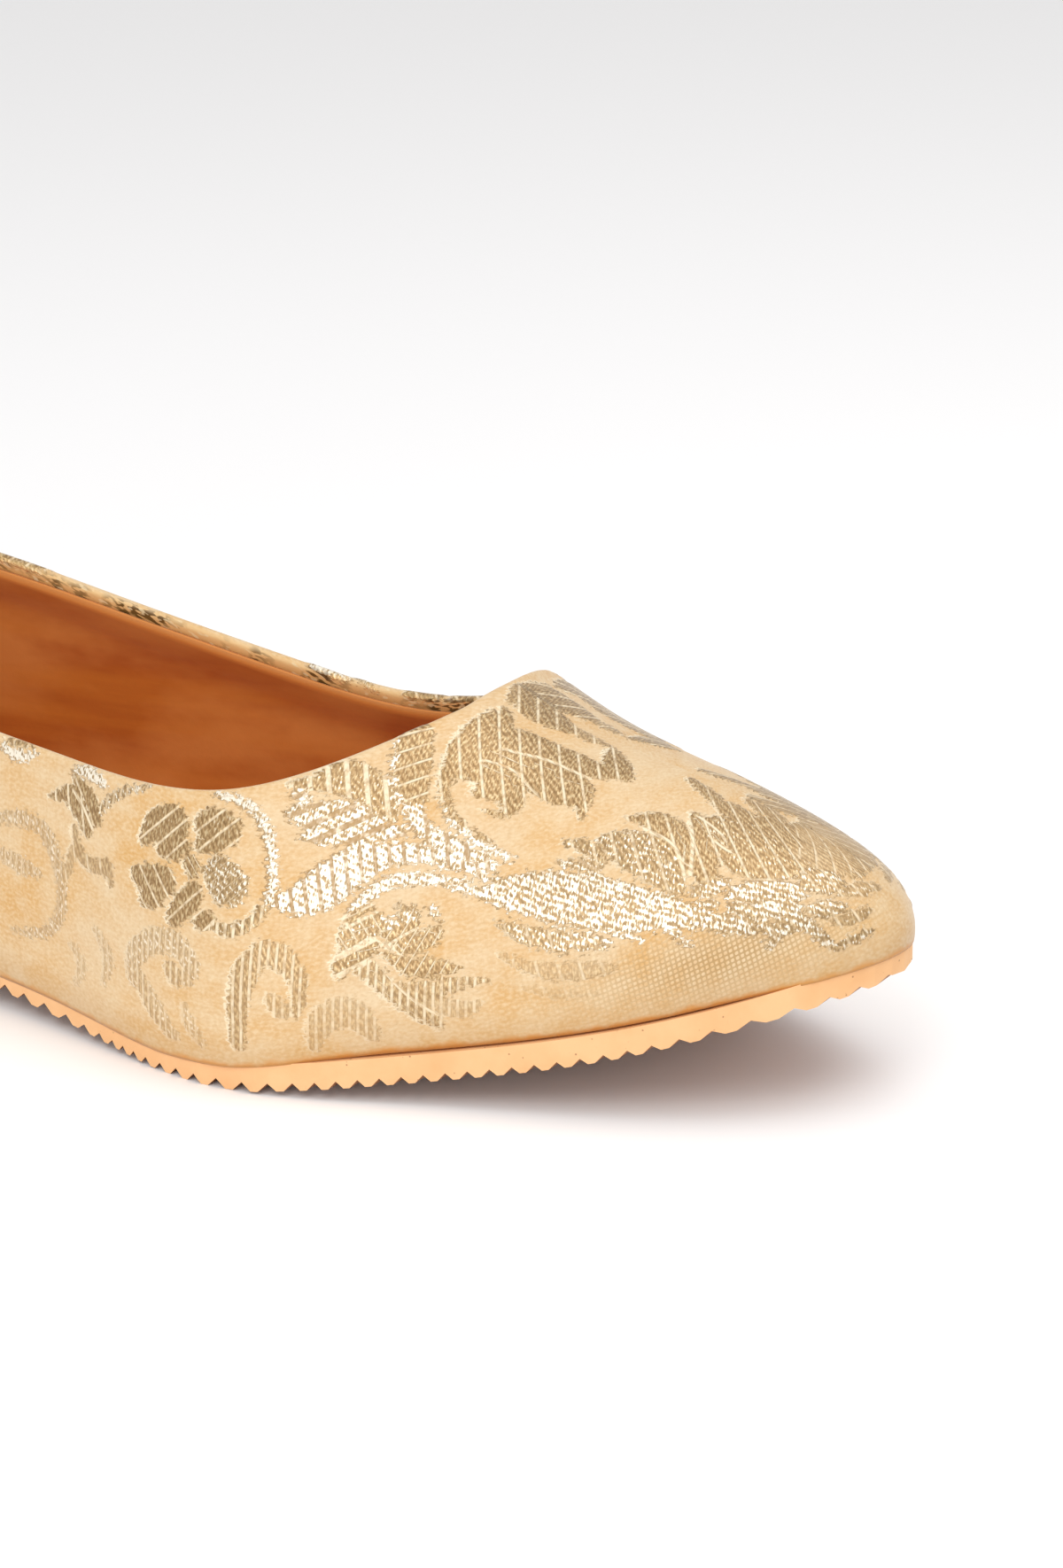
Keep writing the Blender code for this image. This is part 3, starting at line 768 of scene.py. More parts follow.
TOE_SPRAY = [
    stroke([(44.5, 26.2), (42, 25.2), (39.5, 23.8), (37, 22), (35, 19.8), (33.3, 17.4)],
           [0.9, 1.8, 2.4, 2.4, 1.9, 0.8], silver_and_glint=0.36),
    stroke([(50.6, 26.9), (48, 26.1), (46, 24.9), (44.4, 23.4)], [0.3, 0.8, 0.9, 0.5], silver_and_glint=0.25),
    stroke([(50.5, 23.8), (47.5, 23.2), (45, 22)], [0.4, 0.7, 0.5], silver_and_glint=0.55),
    stroke([(42.2, 29.6), (39, 29), (36.6, 27.8), (34.9, 26), (33.4, 23.6), (32.4, 21), (31.9, 18.8)],
           [0.2, 0.8, 1.5, 1.9, 1.5, 1.0, 0.3]),
    stroke([(31, 28.5), (29.6, 25.5), (29.4, 22.6), (29.6, 20.6)], [0.5, 1.4, 1.9, 1.4]),
    stroke([(29.4, 24), (27, 24), (24.6, 23), (22, 20.9), (19.4, 19), (17.2, 17.2), (16.4, 15.4)],
           [1.6, 2.8, 3.1, 3.6, 3.1, 2.0, 0.5], silver_and_glint=0.13),
    stroke([(30.6, 19.6), (29.2, 18.6), (28.6, 17.9)], [0.9, 1.2, 0.6]),
    stroke([(27, 20.6), (24.6, 19.4), (22, 17.6), (19.6, 16)], [0.4, 0.9, 1.0, 0.5], silver_and_glint=0.55),
    stroke([(30.4, 16.2), (28, 16.4), (26, 16.8)], [0.7, 0.8, 0.3], silver_and_glint=0.55),
    stroke([(29.8, 14.3), (28, 13.8)], [0.5, 0.5], silver_and_glint=0.45),
    stroke([(25.4, 14.4), (22.5, 14), (19, 13.1), (15.9, 12.2)], [0.7, 1.4, 1.6, 1.0], silver_and_glint=0.6),
    stroke([(25, 12.4), (21, 11.2), (17, 10.2)], [0.6, 1.0, 0.9], silver_and_glint=0.6),
    stroke([(32, 36.4), (29.3, 33.6), (27.6, 31.6)], [0.5, 0.8, 0.9], show=0.9),
    stroke([(27.6, 31.2), (24.8, 28.6), (22.4, 26.6), (20.6, 24.8)], [0.5, 1.3, 1.4, 0.4], show=0.9),
    stroke([(18.9, 25.6), (17, 23.6), (14.8, 21.6), (12.6, 19.4)], [0.6, 1.8, 2.3, 1.2], show=0.9),
    stroke([(20, 30.2), (17, 27.4), (13.5, 25)], [0.5, 1.1, 0.6], show=0.8),
    stroke([(12, 22.5), (9, 22), (6, 20.8)], [0.5, 1.0, 0.6], show=0.8),
    stroke([(8.6, 19), (5.2, 18.6), (2, 17.8)], [0.6, 1.1, 0.5], show=0.8),
    stroke([(6, 12.2), (3.5, 11.8), (1, 12.2)], [0.5, 0.9, 0.4], silver_and_glint=0.15, show=0.8),
    stroke([(4.5, 23.4), (2.4, 22.4)], [0.5, 0.8], show=0.7),
    stroke([(13.5, 17.6), (9, 16.4), (4.5, 14.8), (0, 14.2)],
           [1.2, 2.3, 2.6, 2.5], TOE_TIP, silver_and_glint=0.06, show=0.7),
    stroke([(15, 22.4), (9.5, 20.4), (4.5, 19.4), (0, 19.2)], [0.7, 1.6, 1.7, 1.6], TOE_TIP, show=0.6),
    stroke([(8.5, 9.6), (5.4, 9.4), (2.2, 8.6)], [0.4, 0.9, 0.5], silver_and_glint=0.2, show=0.7),
    stroke([(15.5, 18.2), (13, 16.4), (10.4, 15.6)], [0.5, 1.1, 0.6], silver_and_glint=0.12, show=0.85),
    stroke([(14.4, 13), (12.6, 13.2), (10.4, 12.2), (8.5, 10.6)], [0.5, 1.5, 1.6, 0.7], silver_and_glint=0.4),
    stroke([(9.5, 14.8), (6.5, 15.3), (3.5, 15)], [0.6, 1.0, 0.6], show=0.6),
    stroke([(14.5, 9.4), (12, 8.6), (9.4, 8)], [0.5, 1.0, 0.5], silver_and_glint=0.45),
    stroke([(11.4, 6.8), (8.6, 6.2), (6, 6.4)], [0.4, 0.8, 0.5], silver_and_glint=0.15, show=0.8),
    line([(50.6, 25.3), (48, 23.9), (45.6, 22.4), (43.6, 20.8)], 0.2),
    line([(41.8, 28.9), (38.8, 27.2), (36.3, 25.6), (34.4, 24), (33.3, 22), (32.7, 20), (32.3, 18.3)],
           0.22),
    line([(31.9, 27.5), (31.3, 24.5), (31.4, 21), (31.5, 18), (31.2, 15.8)], 0.22),
    line([(30.6, 28.2), (28.6, 26.4), (27, 24.6), (25.8, 22.6)]),
    line([(28, 23.5), (26.5, 21.8), (25, 20.6)]),
    line([(25.3, 16.8), (22.6, 15.8), (19.5, 15), (17, 14.2), (15.4, 13.4)], 0.2),
]
print("strokes on the toe:", len(TOE_BAND) + len(TOE_SPRAY))

# %% Chart: rosette and tulip on the side
ROSETTE = [
    stroke([(111.4, 28), (109.5, 30.2), (107, 30.8), (105.8, 29.8)],
           [1.3, 2.5, 2.7, 1.6], DIAGONAL, silver_and_glint=0.05),
    stroke([(108.3, 27.2), (106, 27.4), (104.6, 28.4)], [0.9, 1.5, 1.3], DIAGONAL),
    stroke([(102.2, 32.2), (100.6, 32), (98.2, 32), (97, 31)],
           [1.2, 2.4, 2.2, 1.2], DIAGONAL, silver_and_glint=0.05),
    stroke([(101.6, 28.9), (99.4, 29.8), (97, 30.6)], [1.0, 1.5, 0.9], DIAGONAL, silver_and_glint=0.05),
    stroke([(98, 25.8), (96.4, 24.4)], [2.4, 2.9], PETAL, silver_and_glint=0.42),
    stroke([(104.4, 18.7), (103, 20.4), (101.8, 22.2)], [1.4, 2.0, 1.9], DIAGONAL),
    stroke([(99.8, 18.9), (99, 19.3)], [1.2, 1.4], DIAGONAL),
    stroke([(112.2, 22.6), (109.8, 22.6), (107, 23)], [1.2, 2.2, 2.2], BACKWARD),
    stroke([(110, 20), (108, 20.2)], [1.3, 1.2], BACKWARD),
    stroke([(102.8, 26.2), (102.3, 25.8)], [1.2, 1.3], HEART),
]
RING_STEM = [
    stroke([(101, 36.2), (97.5, 36), (94.5, 34.6), (92.2, 31.6), (90.9, 28), (90.2, 24)],
           [0.3, 0.6, 0.7, 0.7, 0.65, 0.7], RING, silver_and_glint=0.9),
    stroke([(98.2, 19), (95.5, 18.4), (93, 19.3), (91.2, 21.3)],
           [0.6, 0.9, 0.9, 0.8], UPRIGHT, silver_and_glint=0.2),
]
TULIP = [
    stroke([(131.8, 27.6), (128.5, 29), (125.6, 28.6), (123.2, 25.6)], [0.4, 1.2, 2.1, 1.2]),
    stroke([(127, 31.4), (124, 29.4), (121.8, 27.4)], [0.7, 1.7, 1.2], WIDE_BACKWARD),
    stroke([(127.8, 32.4), (125, 33), (121, 32.4)], [0.4, 1.0, 0.5], silver_and_glint=0.9),
    stroke([(121.6, 28), (119.5, 30.6), (117, 32.6), (112, 34.8)],
           [0.6, 0.8, 0.7, 0.3], UPRIGHT, silver_and_glint=0.45),
    stroke([(126, 25), (124.5, 22), (121, 21), (118.4, 21.7), (117.3, 19.5)],
           [0.6, 1.0, 1.0, 1.3, 0.5], show=0.7),
    stroke([(125.5, 22.5), (126.5, 19.5), (128, 15.5)], [0.9, 1.0, 0.4], show=0.55),
    line([(127.4, 30), (124.2, 27.8), (121.8, 25.4)], 0.2),
]
print("strokes of the rosette, its stem and the tulip:", len(ROSETTE) + len(RING_STEM) + len(TULIP))

# %% Chart: faint scrolls low on the side
FAINT_SCROLLS = [
    stroke([(143, 21.5), (138, 23), (132, 22.5), (128.5, 18), (127.5, 14), (129, 10.4), (133, 7.8),
            (139, 6.4)],
           [0.7, 1.1, 1.1, 1.1, 1.0, 0.9, 0.8, 0.3], UPRIGHT, silver_and_glint=0.5, show=0.6),
    stroke([(141, 17), (137, 16.5), (133, 16.5)], [0.9, 1.4, 0.7], UPRIGHT, silver_and_glint=0.4, show=0.55),
    stroke([(112, 8), (111.5, 11.5), (108, 14.5), (104, 15.2), (101, 13), (101.5, 10.5)],
           [1.1, 1.8, 1.9, 1.6, 1.5, 0.9], FINE_UPRIGHT, silver_and_glint=0.35, show=0.6),
    stroke([(108.5, 7.6), (107, 5), (104, 2.2)], [0.7, 1.5, 0.8], FINE_UPRIGHT, silver_and_glint=0.35, show=0.5),
    stroke([(102, 7), (101, 4.6), (99, 2)], [0.6, 1.2, 0.6], FINE_UPRIGHT, silver_and_glint=0.35, show=0.45),
    stroke([(120, 12.5), (117.5, 9.5), (118.5, 5.5)], [0.6, 1.3, 0.6], UPRIGHT, silver_and_glint=0.35, show=0.45),
    stroke([(104.5, 11.5), (103.5, 10.5)], [1.3, 1.4], FINE_UPRIGHT, show=0.65),
    stroke([(111, 9), (108.5, 5.5), (105, 2)], [1.2, 1.3, 0.5], FINE_UPRIGHT, show=0.6),
    stroke([(126, 8.5), (123.5, 6), (125, 3)], [0.5, 1.2, 0.5], UPRIGHT, silver_and_glint=0.35, show=0.4),
]
COMB_LEAF = [
    stroke([(93.6, 3), (93.6, 8), (92.6, 13), (90, 16)], [1.2, 1.6, 1.9, 1.2], COMB, show=0.8),
    stroke([(90.4, 15.4), (88, 14.8), (85.6, 12.4), (84.4, 11)],
           [1.8, 1.9, 1.2, 0.4], COMB, show=0.8),
    stroke([(86.4, 13), (85.2, 9.6), (85.6, 6.6)], [0.9, 1.1, 0.5], COMB, show=0.75),
    stroke([(88.8, 9), (87.6, 7.6)], [1.1, 1.2], COMB, show=0.6),
]
COLLAR_BUD = [
    stroke([(143, 32), (139.5, 31.5), (136, 32.5)], [0.5, 1.0, 0.4], silver_and_glint=0.95),
    stroke([(142.5, 33), (140, 33.2), (137.5, 33.3)], [0.3, 0.5, 0.2]),
]


print("strokes low on the side:", len(FAINT_SCROLLS) + len(COMB_LEAF) + len(COLLAR_BUD))

# %% Chart: the two groups of figures
TOE_SPRAY_BRUSH = 1.3


def fuller(strokes, factor):
    """The same strokes with a wider brush. Lines stay as they are."""
    return [
        one if one["kind"] == "line" else {**one, "widths": [width * factor for width in one["widths"]]}
        for one in strokes
    ]


VAMP_GROUP = (BIG_CURL + CREST_LEAVES + COLLAR_LEAF + COLLAR_BAND + WHITE_STEM + LEAF_CLUSTER + LOW_LEAF
              + TOE_BAND + fuller(TOE_SPRAY, TOE_SPRAY_BRUSH))
SIDE_GROUP = ROSETTE + RING_STEM + TULIP + FAINT_SCROLLS + COMB_LEAF + COLLAR_BUD
print("strokes charted:", len(VAMP_GROUP) + len(SIDE_GROUP))

# %% [markdown]
# ## Repeats
# A woven pattern comes again and again along the cloth. So the figures of the vamp and the side are
# copied further back, a little higher where the side is higher. The outer side is cut from the cloth
# turned over, so it has the same figures in mirror image.
# %% Chart: repeats on the rest of the shoe
def moved(strokes, shift, mirror=None):
    """Copies of strokes moved along and up the cloth, mirrored first about a place if one is given."""
    copies = []
    for one in strokes:
        places = [(2 * mirror - a if mirror else a, b) for a, b in one["places"]]
        places = [(a + shift[0], b + shift[1]) for a, b in places]
        angle, spacing = one["ribs"]
        ribs = (180.0 - angle, spacing) if mirror else one["ribs"]
        copies.append({**one, "places": places, "ribs": ribs})
    return copies


FULL_ROUND = round_shoe[-1] / MM
SIDE_REPEAT = 76
CURL_REPEAT = 126
ROSETTE_GROUP = ROSETTE + RING_STEM + COMB_LEAF
# Figures that come again further back, then how far back and how far up
REPEATS = [
    (ROSETTE_GROUP, (SIDE_REPEAT, 1.5)),
    (BIG_CURL + LEAF_CLUSTER, (CURL_REPEAT, 0)),
    (TULIP + FAINT_SCROLLS, (SIDE_REPEAT, 3)),
    (ROSETTE_GROUP, (2 * SIDE_REPEAT + 8, 4)),
    (COLLAR_LEAF + WHITE_STEM, (2 * SIDE_REPEAT, 6)),
    (LEAF_CLUSTER, (2 * SIDE_REPEAT + 6, 0)),
]
figures = VAMP_GROUP + SIDE_GROUP
for group, shift in REPEATS:
    figures += moved(group, shift)
figures += moved(figures, (0, 0), mirror=FULL_ROUND / 2)
print("strokes on the cloth:", len(figures))

# %% [markdown]
# ## From chart to cloth
# The loom needs a value at every thread, and the shader needs one at every vertex. So each vertex gets
# its depth inside the nearest stroke, the direction of that stroke's ribs, its share of silvery thread
# and painted highlight, and how strongly it shows. They are stored as attributes of the mesh, which
# move with the cloth.
# %% Places on the cloth
CURVE_STEPS = 6
FAR = 1.0


def past_edge(along, up):
    """How far each vertex lies past the top of the rolled collar, on the turn-in, negative before it."""
    edge = up_wall[:, len(TUCK_DEPTHS) + WALL_ROWS] + COLLAR_ROLL * math.pi / 2
    first, last = throat_columns
    edge[:first] += TURN_IN
    edge[last + 1:] += TURN_IN
    return up - np.interp(along, round_shoe, edge)


def cloth_place(along, up):
    """Point on the cloth at these millimetres round and up, found between the grid's points."""
    position = np.interp(along * MM, round_shoe, np.arange(len(round_shoe)))
    first = int(min(position, len(round_shoe) - 2))
    share = position - first
    ends = []
    for number in (first, first + 1):
        ends.append([np.interp(up * MM, up_wall[number], grid[number, :, axis]) for axis in range(3)])
    return np.array(ends[0]) * (1 - share) + np.array(ends[1]) * share


print("a place 70 mm round and 30 mm up lies at", np.round(cloth_place(70, 30) / MM, 1), "mm")

# %% Distance from strokes and lines
def smooth_stroke(one):
    """Places, points and half widths of a stroke, with short steps along a spline."""
    places = np.array(one["places"], float)
    turns = np.arange(len(places), dtype=float)
    fine = np.linspace(0.0, turns[-1], CURVE_STEPS * (len(places) - 1) + 1)
    along = spline(turns, places[:, 0], fine)
    up = spline(turns, places[:, 1], fine)
    widths = np.interp(fine, turns, one["widths"]) * MM
    points = np.array([cloth_place(a, b) for a, b in zip(along, up)])
    return points, widths


def stroke_depth(vertices, points, widths):
    """How far each vertex lies inside a stroke, negative outside."""
    best = np.full(len(vertices), -FAR)
    for start, end, width_start, width_end in zip(points[:-1], points[1:], widths[:-1], widths[1:]):
        leg = end - start
        share = np.clip((vertices - start) @ leg / max(leg @ leg, TINY), 0.0, 1.0)
        away = np.linalg.norm(vertices - start - share[:, None] * leg, axis=1)
        best = np.maximum(best, width_start + share * (width_end - width_start) - away)
    return best


def line_offset(vertices, normals, points):
    """Distance of each vertex from a line, positive on one side, and whether it lies beside the line."""
    nearest = np.full(len(vertices), FAR)
    signed = np.full(len(vertices), FAR)
    beside = np.zeros(len(vertices))
    last = len(points) - 2
    for number, (start, end) in enumerate(zip(points[:-1], points[1:])):
        leg = end - start
        share = (vertices - start) @ leg / max(leg @ leg, TINY)
        held = np.clip(share, 0.0, 1.0)
        away = vertices - start - held[:, None] * leg
        distance = np.linalg.norm(away, axis=1)
        closer = distance < nearest
        side = np.sign(np.sum(np.cross(normals, leg) * away, axis=1))
        past_end = ((share < 0) & (number == 0)) | ((share > 1) & (number == last))
        nearest = np.where(closer, distance, nearest)
        signed = np.where(closer, distance * side, signed)
        beside = np.where(closer, ~past_end, beside)
    return signed, beside


curl_widths = smooth_stroke(BIG_CURL[0])[1]
print("the curl's first stroke is", round(2 * curl_widths.max() / MM, 2), "mm wide at most")

# %% Weave the figures into the cloth
RIB_OPEN = 0.07
# Ribs in these directions are left wider open
WIDE_OPEN = {LEAF_WARP[0]: 0.14, SHALLOW[0]: 0.18, STEM_WARP[0]: 0.12, COMB[0]: 0.18}
# Painted highlight: a pale edge lies off to the heelward side of each figure, the side that faces the light
HIGHLIGHT_SHIFT = np.array([0.42, 0.0, 0.08]) * MM
FOLD_START = 1.0 * MM
OUTSIDE = -4 * MM
NO_LINE = 9.0
STROKE_REACH = 6 * MM
STROKE_ORDER = {"figure": 0, "hole": 1, "line": 2}


def weave_figures(vertices, normals, along, up):
    """What is woven at every vertex: depth in the figures, depth in the painted highlight along one edge of
    each, rib direction, spacing and openness, share of silvery thread and painted highlight, show, and
    the offset from the nearest open line."""
    count = len(vertices)
    woven = {
        "figure": np.full(count, OUTSIDE), "outline": np.full(count, OUTSIDE),
        "rib_angle": np.zeros(count), "rib_spacing": np.ones(count),
        "silver_and_glint": np.zeros(count), "show": np.ones(count), "line": np.full(count, NO_LINE),
        "line_show": np.zeros(count), "open_share": np.full(count, RIB_OPEN),
    }
    for one in sorted(figures, key=lambda one: STROKE_ORDER[one["kind"]]):
        points, widths = smooth_stroke(one)
        low = points.min(axis=0) - STROKE_REACH
        high = points.max(axis=0) + STROKE_REACH
        near = np.all((vertices > low) & (vertices < high), axis=1).nonzero()[0]
        if not len(near):
            continue
        if one["kind"] == "line":
            signed, beside = line_offset(vertices[near], normals[near], points)
            signed /= widths.mean()
            wins = np.abs(signed) < np.abs(woven["line"][near])
            woven["line"][near[wins]] = signed[wins]
            woven["line_show"][near[wins]] = beside[wins]
            continue
        inside = stroke_depth(vertices[near], points, widths)
        if one["kind"] == "hole":
            woven["figure"][near] = np.minimum(woven["figure"][near], -inside)
            continue
        outline = stroke_depth(vertices[near] + HIGHLIGHT_SHIFT, points, widths)
        woven["outline"][near] = np.maximum(woven["outline"][near], outline)
        wins = inside > woven["figure"][near]
        winners = near[wins]
        woven["figure"][winners] = inside[wins]
        woven["rib_angle"][winners] = math.radians(one["ribs"][0])
        woven["rib_spacing"][winners] = one["ribs"][1] * MM
        woven["open_share"][winners] = WIDE_OPEN.get(one["ribs"][0], RIB_OPEN)
        woven["silver_and_glint"][winners] = one["silver_and_glint"]
        woven["show"][winners] = one["show"]
    over = past_edge(along, up)
    woven["figure"] = np.minimum(woven["figure"], FOLD_START - over) / MM
    woven["outline"] = np.minimum(woven["outline"], FOLD_START - over) / MM
    woven["fold"] = over / MM
    woven["above_sole"] = (up + np.interp(along, round_shoe, lowered)) / MM
    return woven


print("strokes to weave:", len(figures))

# %% Attributes of the cloth
def mesh_points(mesh, what="co"):
    """Places or normals of the vertices."""
    values = np.zeros(len(mesh.vertices) * 3)
    mesh.vertices.foreach_get(what, values)
    return values.reshape(-1, 3)


def set_attribute(mesh, name, values, domain="POINT"):
    """Write one number per vertex, or per corner, for the shader."""
    attribute = mesh.attributes.new(name, "FLOAT", domain)
    attribute.data.foreach_set("value", np.asarray(values, np.float32))


def loop_map(mesh):
    """The cloth map at each face corner, and the vertex that the corner belongs to."""
    uv = np.zeros(len(mesh.loops) * 2)
    mesh.uv_layers["cloth"].data.foreach_get("uv", uv)
    owner = np.zeros(len(mesh.loops), int)
    mesh.loops.foreach_get("vertex_index", owner)
    return uv.reshape(-1, 2), owner


def cloth_coordinates(mesh):
    """How far round the shoe and how far up each vertex lies, read back from the cloth map."""
    uv, owner = loop_map(mesh)
    places = np.zeros((len(mesh.vertices), 2))
    places[owner[::-1]] = uv[::-1]
    places *= CLOTH_SPAN
    places[:, 1] -= FEATHER_UP * MM
    return places


def rib_counts(mesh, woven, along, up):
    """Rib count at each face corner. All corners of a face follow the stroke that its deepest vertex lies
    in, so that the ribs break off cleanly where two strokes meet."""
    owner = np.zeros(len(mesh.loops), int)
    mesh.loops.foreach_get("vertex_index", owner)
    corners = np.zeros(len(mesh.polygons), int)
    mesh.polygons.foreach_get("loop_total", corners)
    face = np.repeat(np.arange(len(corners)), corners)
    starts = np.cumsum(corners) - corners
    depth = woven["figure"][owner]
    deepest = depth >= np.maximum.reduceat(depth, starts)[face]
    leader = np.zeros(len(corners), int)
    leader[face[deepest]] = owner[deepest]
    angle = woven["rib_angle"][leader][face]
    across = along[owner] * np.sin(angle) + up[owner] * np.cos(angle)
    return across / woven["rib_spacing"][leader][face]


cloth_round, cloth_up = cloth_coordinates(upper_mesh).T
woven = weave_figures(mesh_points(upper_mesh), mesh_points(upper_mesh, "normal"), cloth_round, cloth_up)
set_attribute(upper_mesh, "ribs", rib_counts(upper_mesh, woven, cloth_round, cloth_up), "CORNER")
for name in ("figure", "outline", "silver_and_glint", "show", "line", "line_show", "open_share", "fold", "above_sole"):
    set_attribute(upper_mesh, name, woven[name])
print("share of the cloth in figures:", round(float(np.mean(woven["figure"] > 0)), 3))

# %% [markdown]
# ## Brocade: woven satin with metal thread
# The ground of a brocade is a fine satin in one colour. The figures float on it: flat metal thread, gold
# or pale silver, woven in only where the chart asks for it. The pale silver also carries painted
# highlights, charted where the metal thread would catch the light. The floats stand up by a seventh of a
# millimetre and shine, while the ground has a soft sheen. The shader works in millimetres of cloth, so
# that each thread has its real spacing, but threads below about half a millimetre are drawn a little
# coarser, because they would not show.
# %% Bands, noise and tints
WAVE_DETAIL = 0.6


def wave_scale(pitch):
    """Scale of a wave texture whose bands are one pitch apart."""
    return 2 * math.pi / (20 * pitch)


def bands(material, place, pitch, turn=0.0, wobble=0.0):
    """Soft bands one pitch apart, turned by an angle in degrees, from 0 to 1."""
    turned = {"Vector": place, "Rotation": (0, 0, math.radians(turn))}
    turned = add_node(material, "ShaderNodeMapping", turned)
    wave = {"Vector": turned, "Scale": wave_scale(pitch), "Distortion": wobble}
    wave.update({"Detail": 1.0, "Detail Scale": WAVE_DETAIL})
    return add_node(material, "ShaderNodeTexWave", wave, output="Fac", bands_direction="X")


def noise(material, place, size, stretch=(1, 1, 1), detail=2.0):
    """Noise with blobs about one size across, stretched along an axis where stretch is below 1."""
    stretched = add_node(material, "ShaderNodeMapping", {"Vector": place, "Scale": stretch})
    blobs = {"Vector": stretched, "Scale": 1 / size, "Detail": detail}
    return add_node(material, "ShaderNodeTexNoise", blobs)


def tinted(material, color, tints):
    """A colour with tints laid over it one after the other, each by its own share."""
    for share, tint in tints:
        color = add_node(material, "ShaderNodeMix", {0: share, 6: color, 7: tint}, 2, data_type="RGBA")
    return color


print("bands 1 mm apart need a wave scale of", round(wave_scale(1.0), 3))

# %% Satin ground
GROUND_PATCH = 16.0
GROUND_CLOUD = 3.2
GROUND_THREAD = 0.5
WEAVE = 0.68
CREAM = "D5B487"


def brocade_ground(cloth, place):
    """Satin ground: warm cream with golden and pale patches, and faint threads round the shoe."""
    add = partial(add_node, cloth)
    golden = add("ShaderNodeMapRange", [noise(cloth, place, GROUND_PATCH), 0.36, 0.66])
    clouds = noise(cloth, place, GROUND_CLOUD, (0.7, 1, 1), 4.0)
    pale = add("ShaderNodeMapRange", [clouds, 0.4, 0.7, 0.0, 0.5])
    threads = noise(cloth, place, GROUND_THREAD, (0.7, 1.1, 1))
    light = add("ShaderNodeMapRange", [threads, 0.42, 0.7, 0.0, 0.45])
    dark = add("ShaderNodeMapRange", [threads, 0.42, 0.25, 0.0, 0.25])

    # Plain weave shows as a net of fine pits where the cloth is pulled
    weft = bands(cloth, place, WEAVE, 12, 0.6)
    warp = bands(cloth, place, WEAVE, 102, 0.6)
    pits = add("ShaderNodeMath", [weft, warp], operation="MULTIPLY")
    pits = add("ShaderNodeMapRange", [pits, 0.35, 0.05])
    crisp = add("ShaderNodeAttribute", output="Fac", attribute_name="crisp")
    pits = add("ShaderNodeMath", [pits, crisp], operation="MULTIPLY")
    tints = [(golden, "D0A262"), (pale, "DFC9A5"), (light, "E6D1AC"), (dark, "B58F5C"), (pits, "A9844E")]
    height = add("ShaderNodeMath", [threads, 0.35, 0.0], operation="MULTIPLY_ADD")
    height = add("ShaderNodeMath", [pits, -0.5, height], operation="MULTIPLY_ADD")
    return tinted(cloth, CREAM, tints), height


print("ground colour:", CREAM, "with threads of the plain weave", WEAVE, "mm apart")

# %% Metal thread
TWILL = 0.7
HATCH = 0.8
FLECK = 0.5
SILVER_GLINT_PATCH = 1.7


def metal_threads(cloth, place):
    """Metal thread: a gold twill, with pale silvery thread and painted highlights picked out of it in short
    broken dashes.
    """
    add = partial(add_node, cloth)
    twill = bands(cloth, place, TWILL, 38, 3.5)
    flecks = add("ShaderNodeMapRange", [noise(cloth, place, FLECK, (1.6, 0.6, 1)), 0.32, 0.68])
    light = add("ShaderNodeMapRange", [flecks, 0.5, 0.9, 0.0, 0.65])
    dark = add("ShaderNodeMapRange", [flecks, 0.45, 0.1, 0.0, 0.6])
    silver_and_glint = add("ShaderNodeAttribute", output="Fac", attribute_name="silver_and_glint")
    # The silvery thread and its painted highlights are a little paler all over
    paler = add("ShaderNodeMath", [silver_and_glint, 0.2], operation="MULTIPLY")

    # Painted highlight: the pale thread glints where the silver chart, the flecks, the patches and the
    # dashes add up
    patches = noise(cloth, place, SILVER_GLINT_PATCH)
    patches = add("ShaderNodeMath", [patches, 1.1, -0.55], operation="MULTIPLY_ADD")
    dashes = bands(cloth, place, HATCH, 62, 4.5)
    dashes = add("ShaderNodeMath", [dashes, 0.44, -0.22], operation="MULTIPLY_ADD")
    glint = flecks
    for part in (dashes, patches, silver_and_glint):
        glint = add("ShaderNodeMath", [glint, part], operation="ADD")
    glint = add("ShaderNodeMapRange", [glint, 1.06, 1.36])
    any_silver_and_glint = add("ShaderNodeMapRange", [silver_and_glint, 0.02, 0.1])
    glint = add("ShaderNodeMath", [glint, any_silver_and_glint], operation="MULTIPLY")
    tints = [(twill, "B49264"), (light, "E3CC9F"), (dark, "7D6039"), (paler, "DCC9A2"), (glint, "F6EDDA")]
    return tinted(cloth, "957449", tints), twill, silver_and_glint


print("twill of the gold thread:", TWILL, "mm, dashes of the silver thread:", HATCH, "mm")

# %% Ribs and lines left open in the figures
def open_ribs(cloth, place, in_silver_and_glint):
    """Ribs left open in the figures: pale and thin between gold threads, almost lost between silvery thread
    and its painted highlights.
    """
    add = partial(add_node, cloth)
    ribs = add("ShaderNodeAttribute", output="Fac", attribute_name="ribs")
    ribs = add("ShaderNodeMath", [ribs, 0.5], operation="PINGPONG")
    open_share = add("ShaderNodeAttribute", output="Fac", attribute_name="open_share")
    inside = add("ShaderNodeMath", [open_share, ribs], operation="SUBTRACT")
    inside = add("ShaderNodeMapRange", [inside, -0.03, 0.03])
    broken = add("ShaderNodeMapRange", [noise(cloth, place, 1.1, detail=1.0), 0.35, 0.6, 0.25, 0.75])
    narrow = add("ShaderNodeMapRange", [open_share, 0.12, 0.08])
    quiet = add("ShaderNodeMath", [in_silver_and_glint, narrow], operation="MULTIPLY")
    quiet = add("ShaderNodeMapRange", [quiet, 0.0, 1.0, 1.0, 0.25])
    strength = add("ShaderNodeMath", [broken, quiet], operation="MULTIPLY")
    return add("ShaderNodeMath", [inside, strength], operation="MULTIPLY")


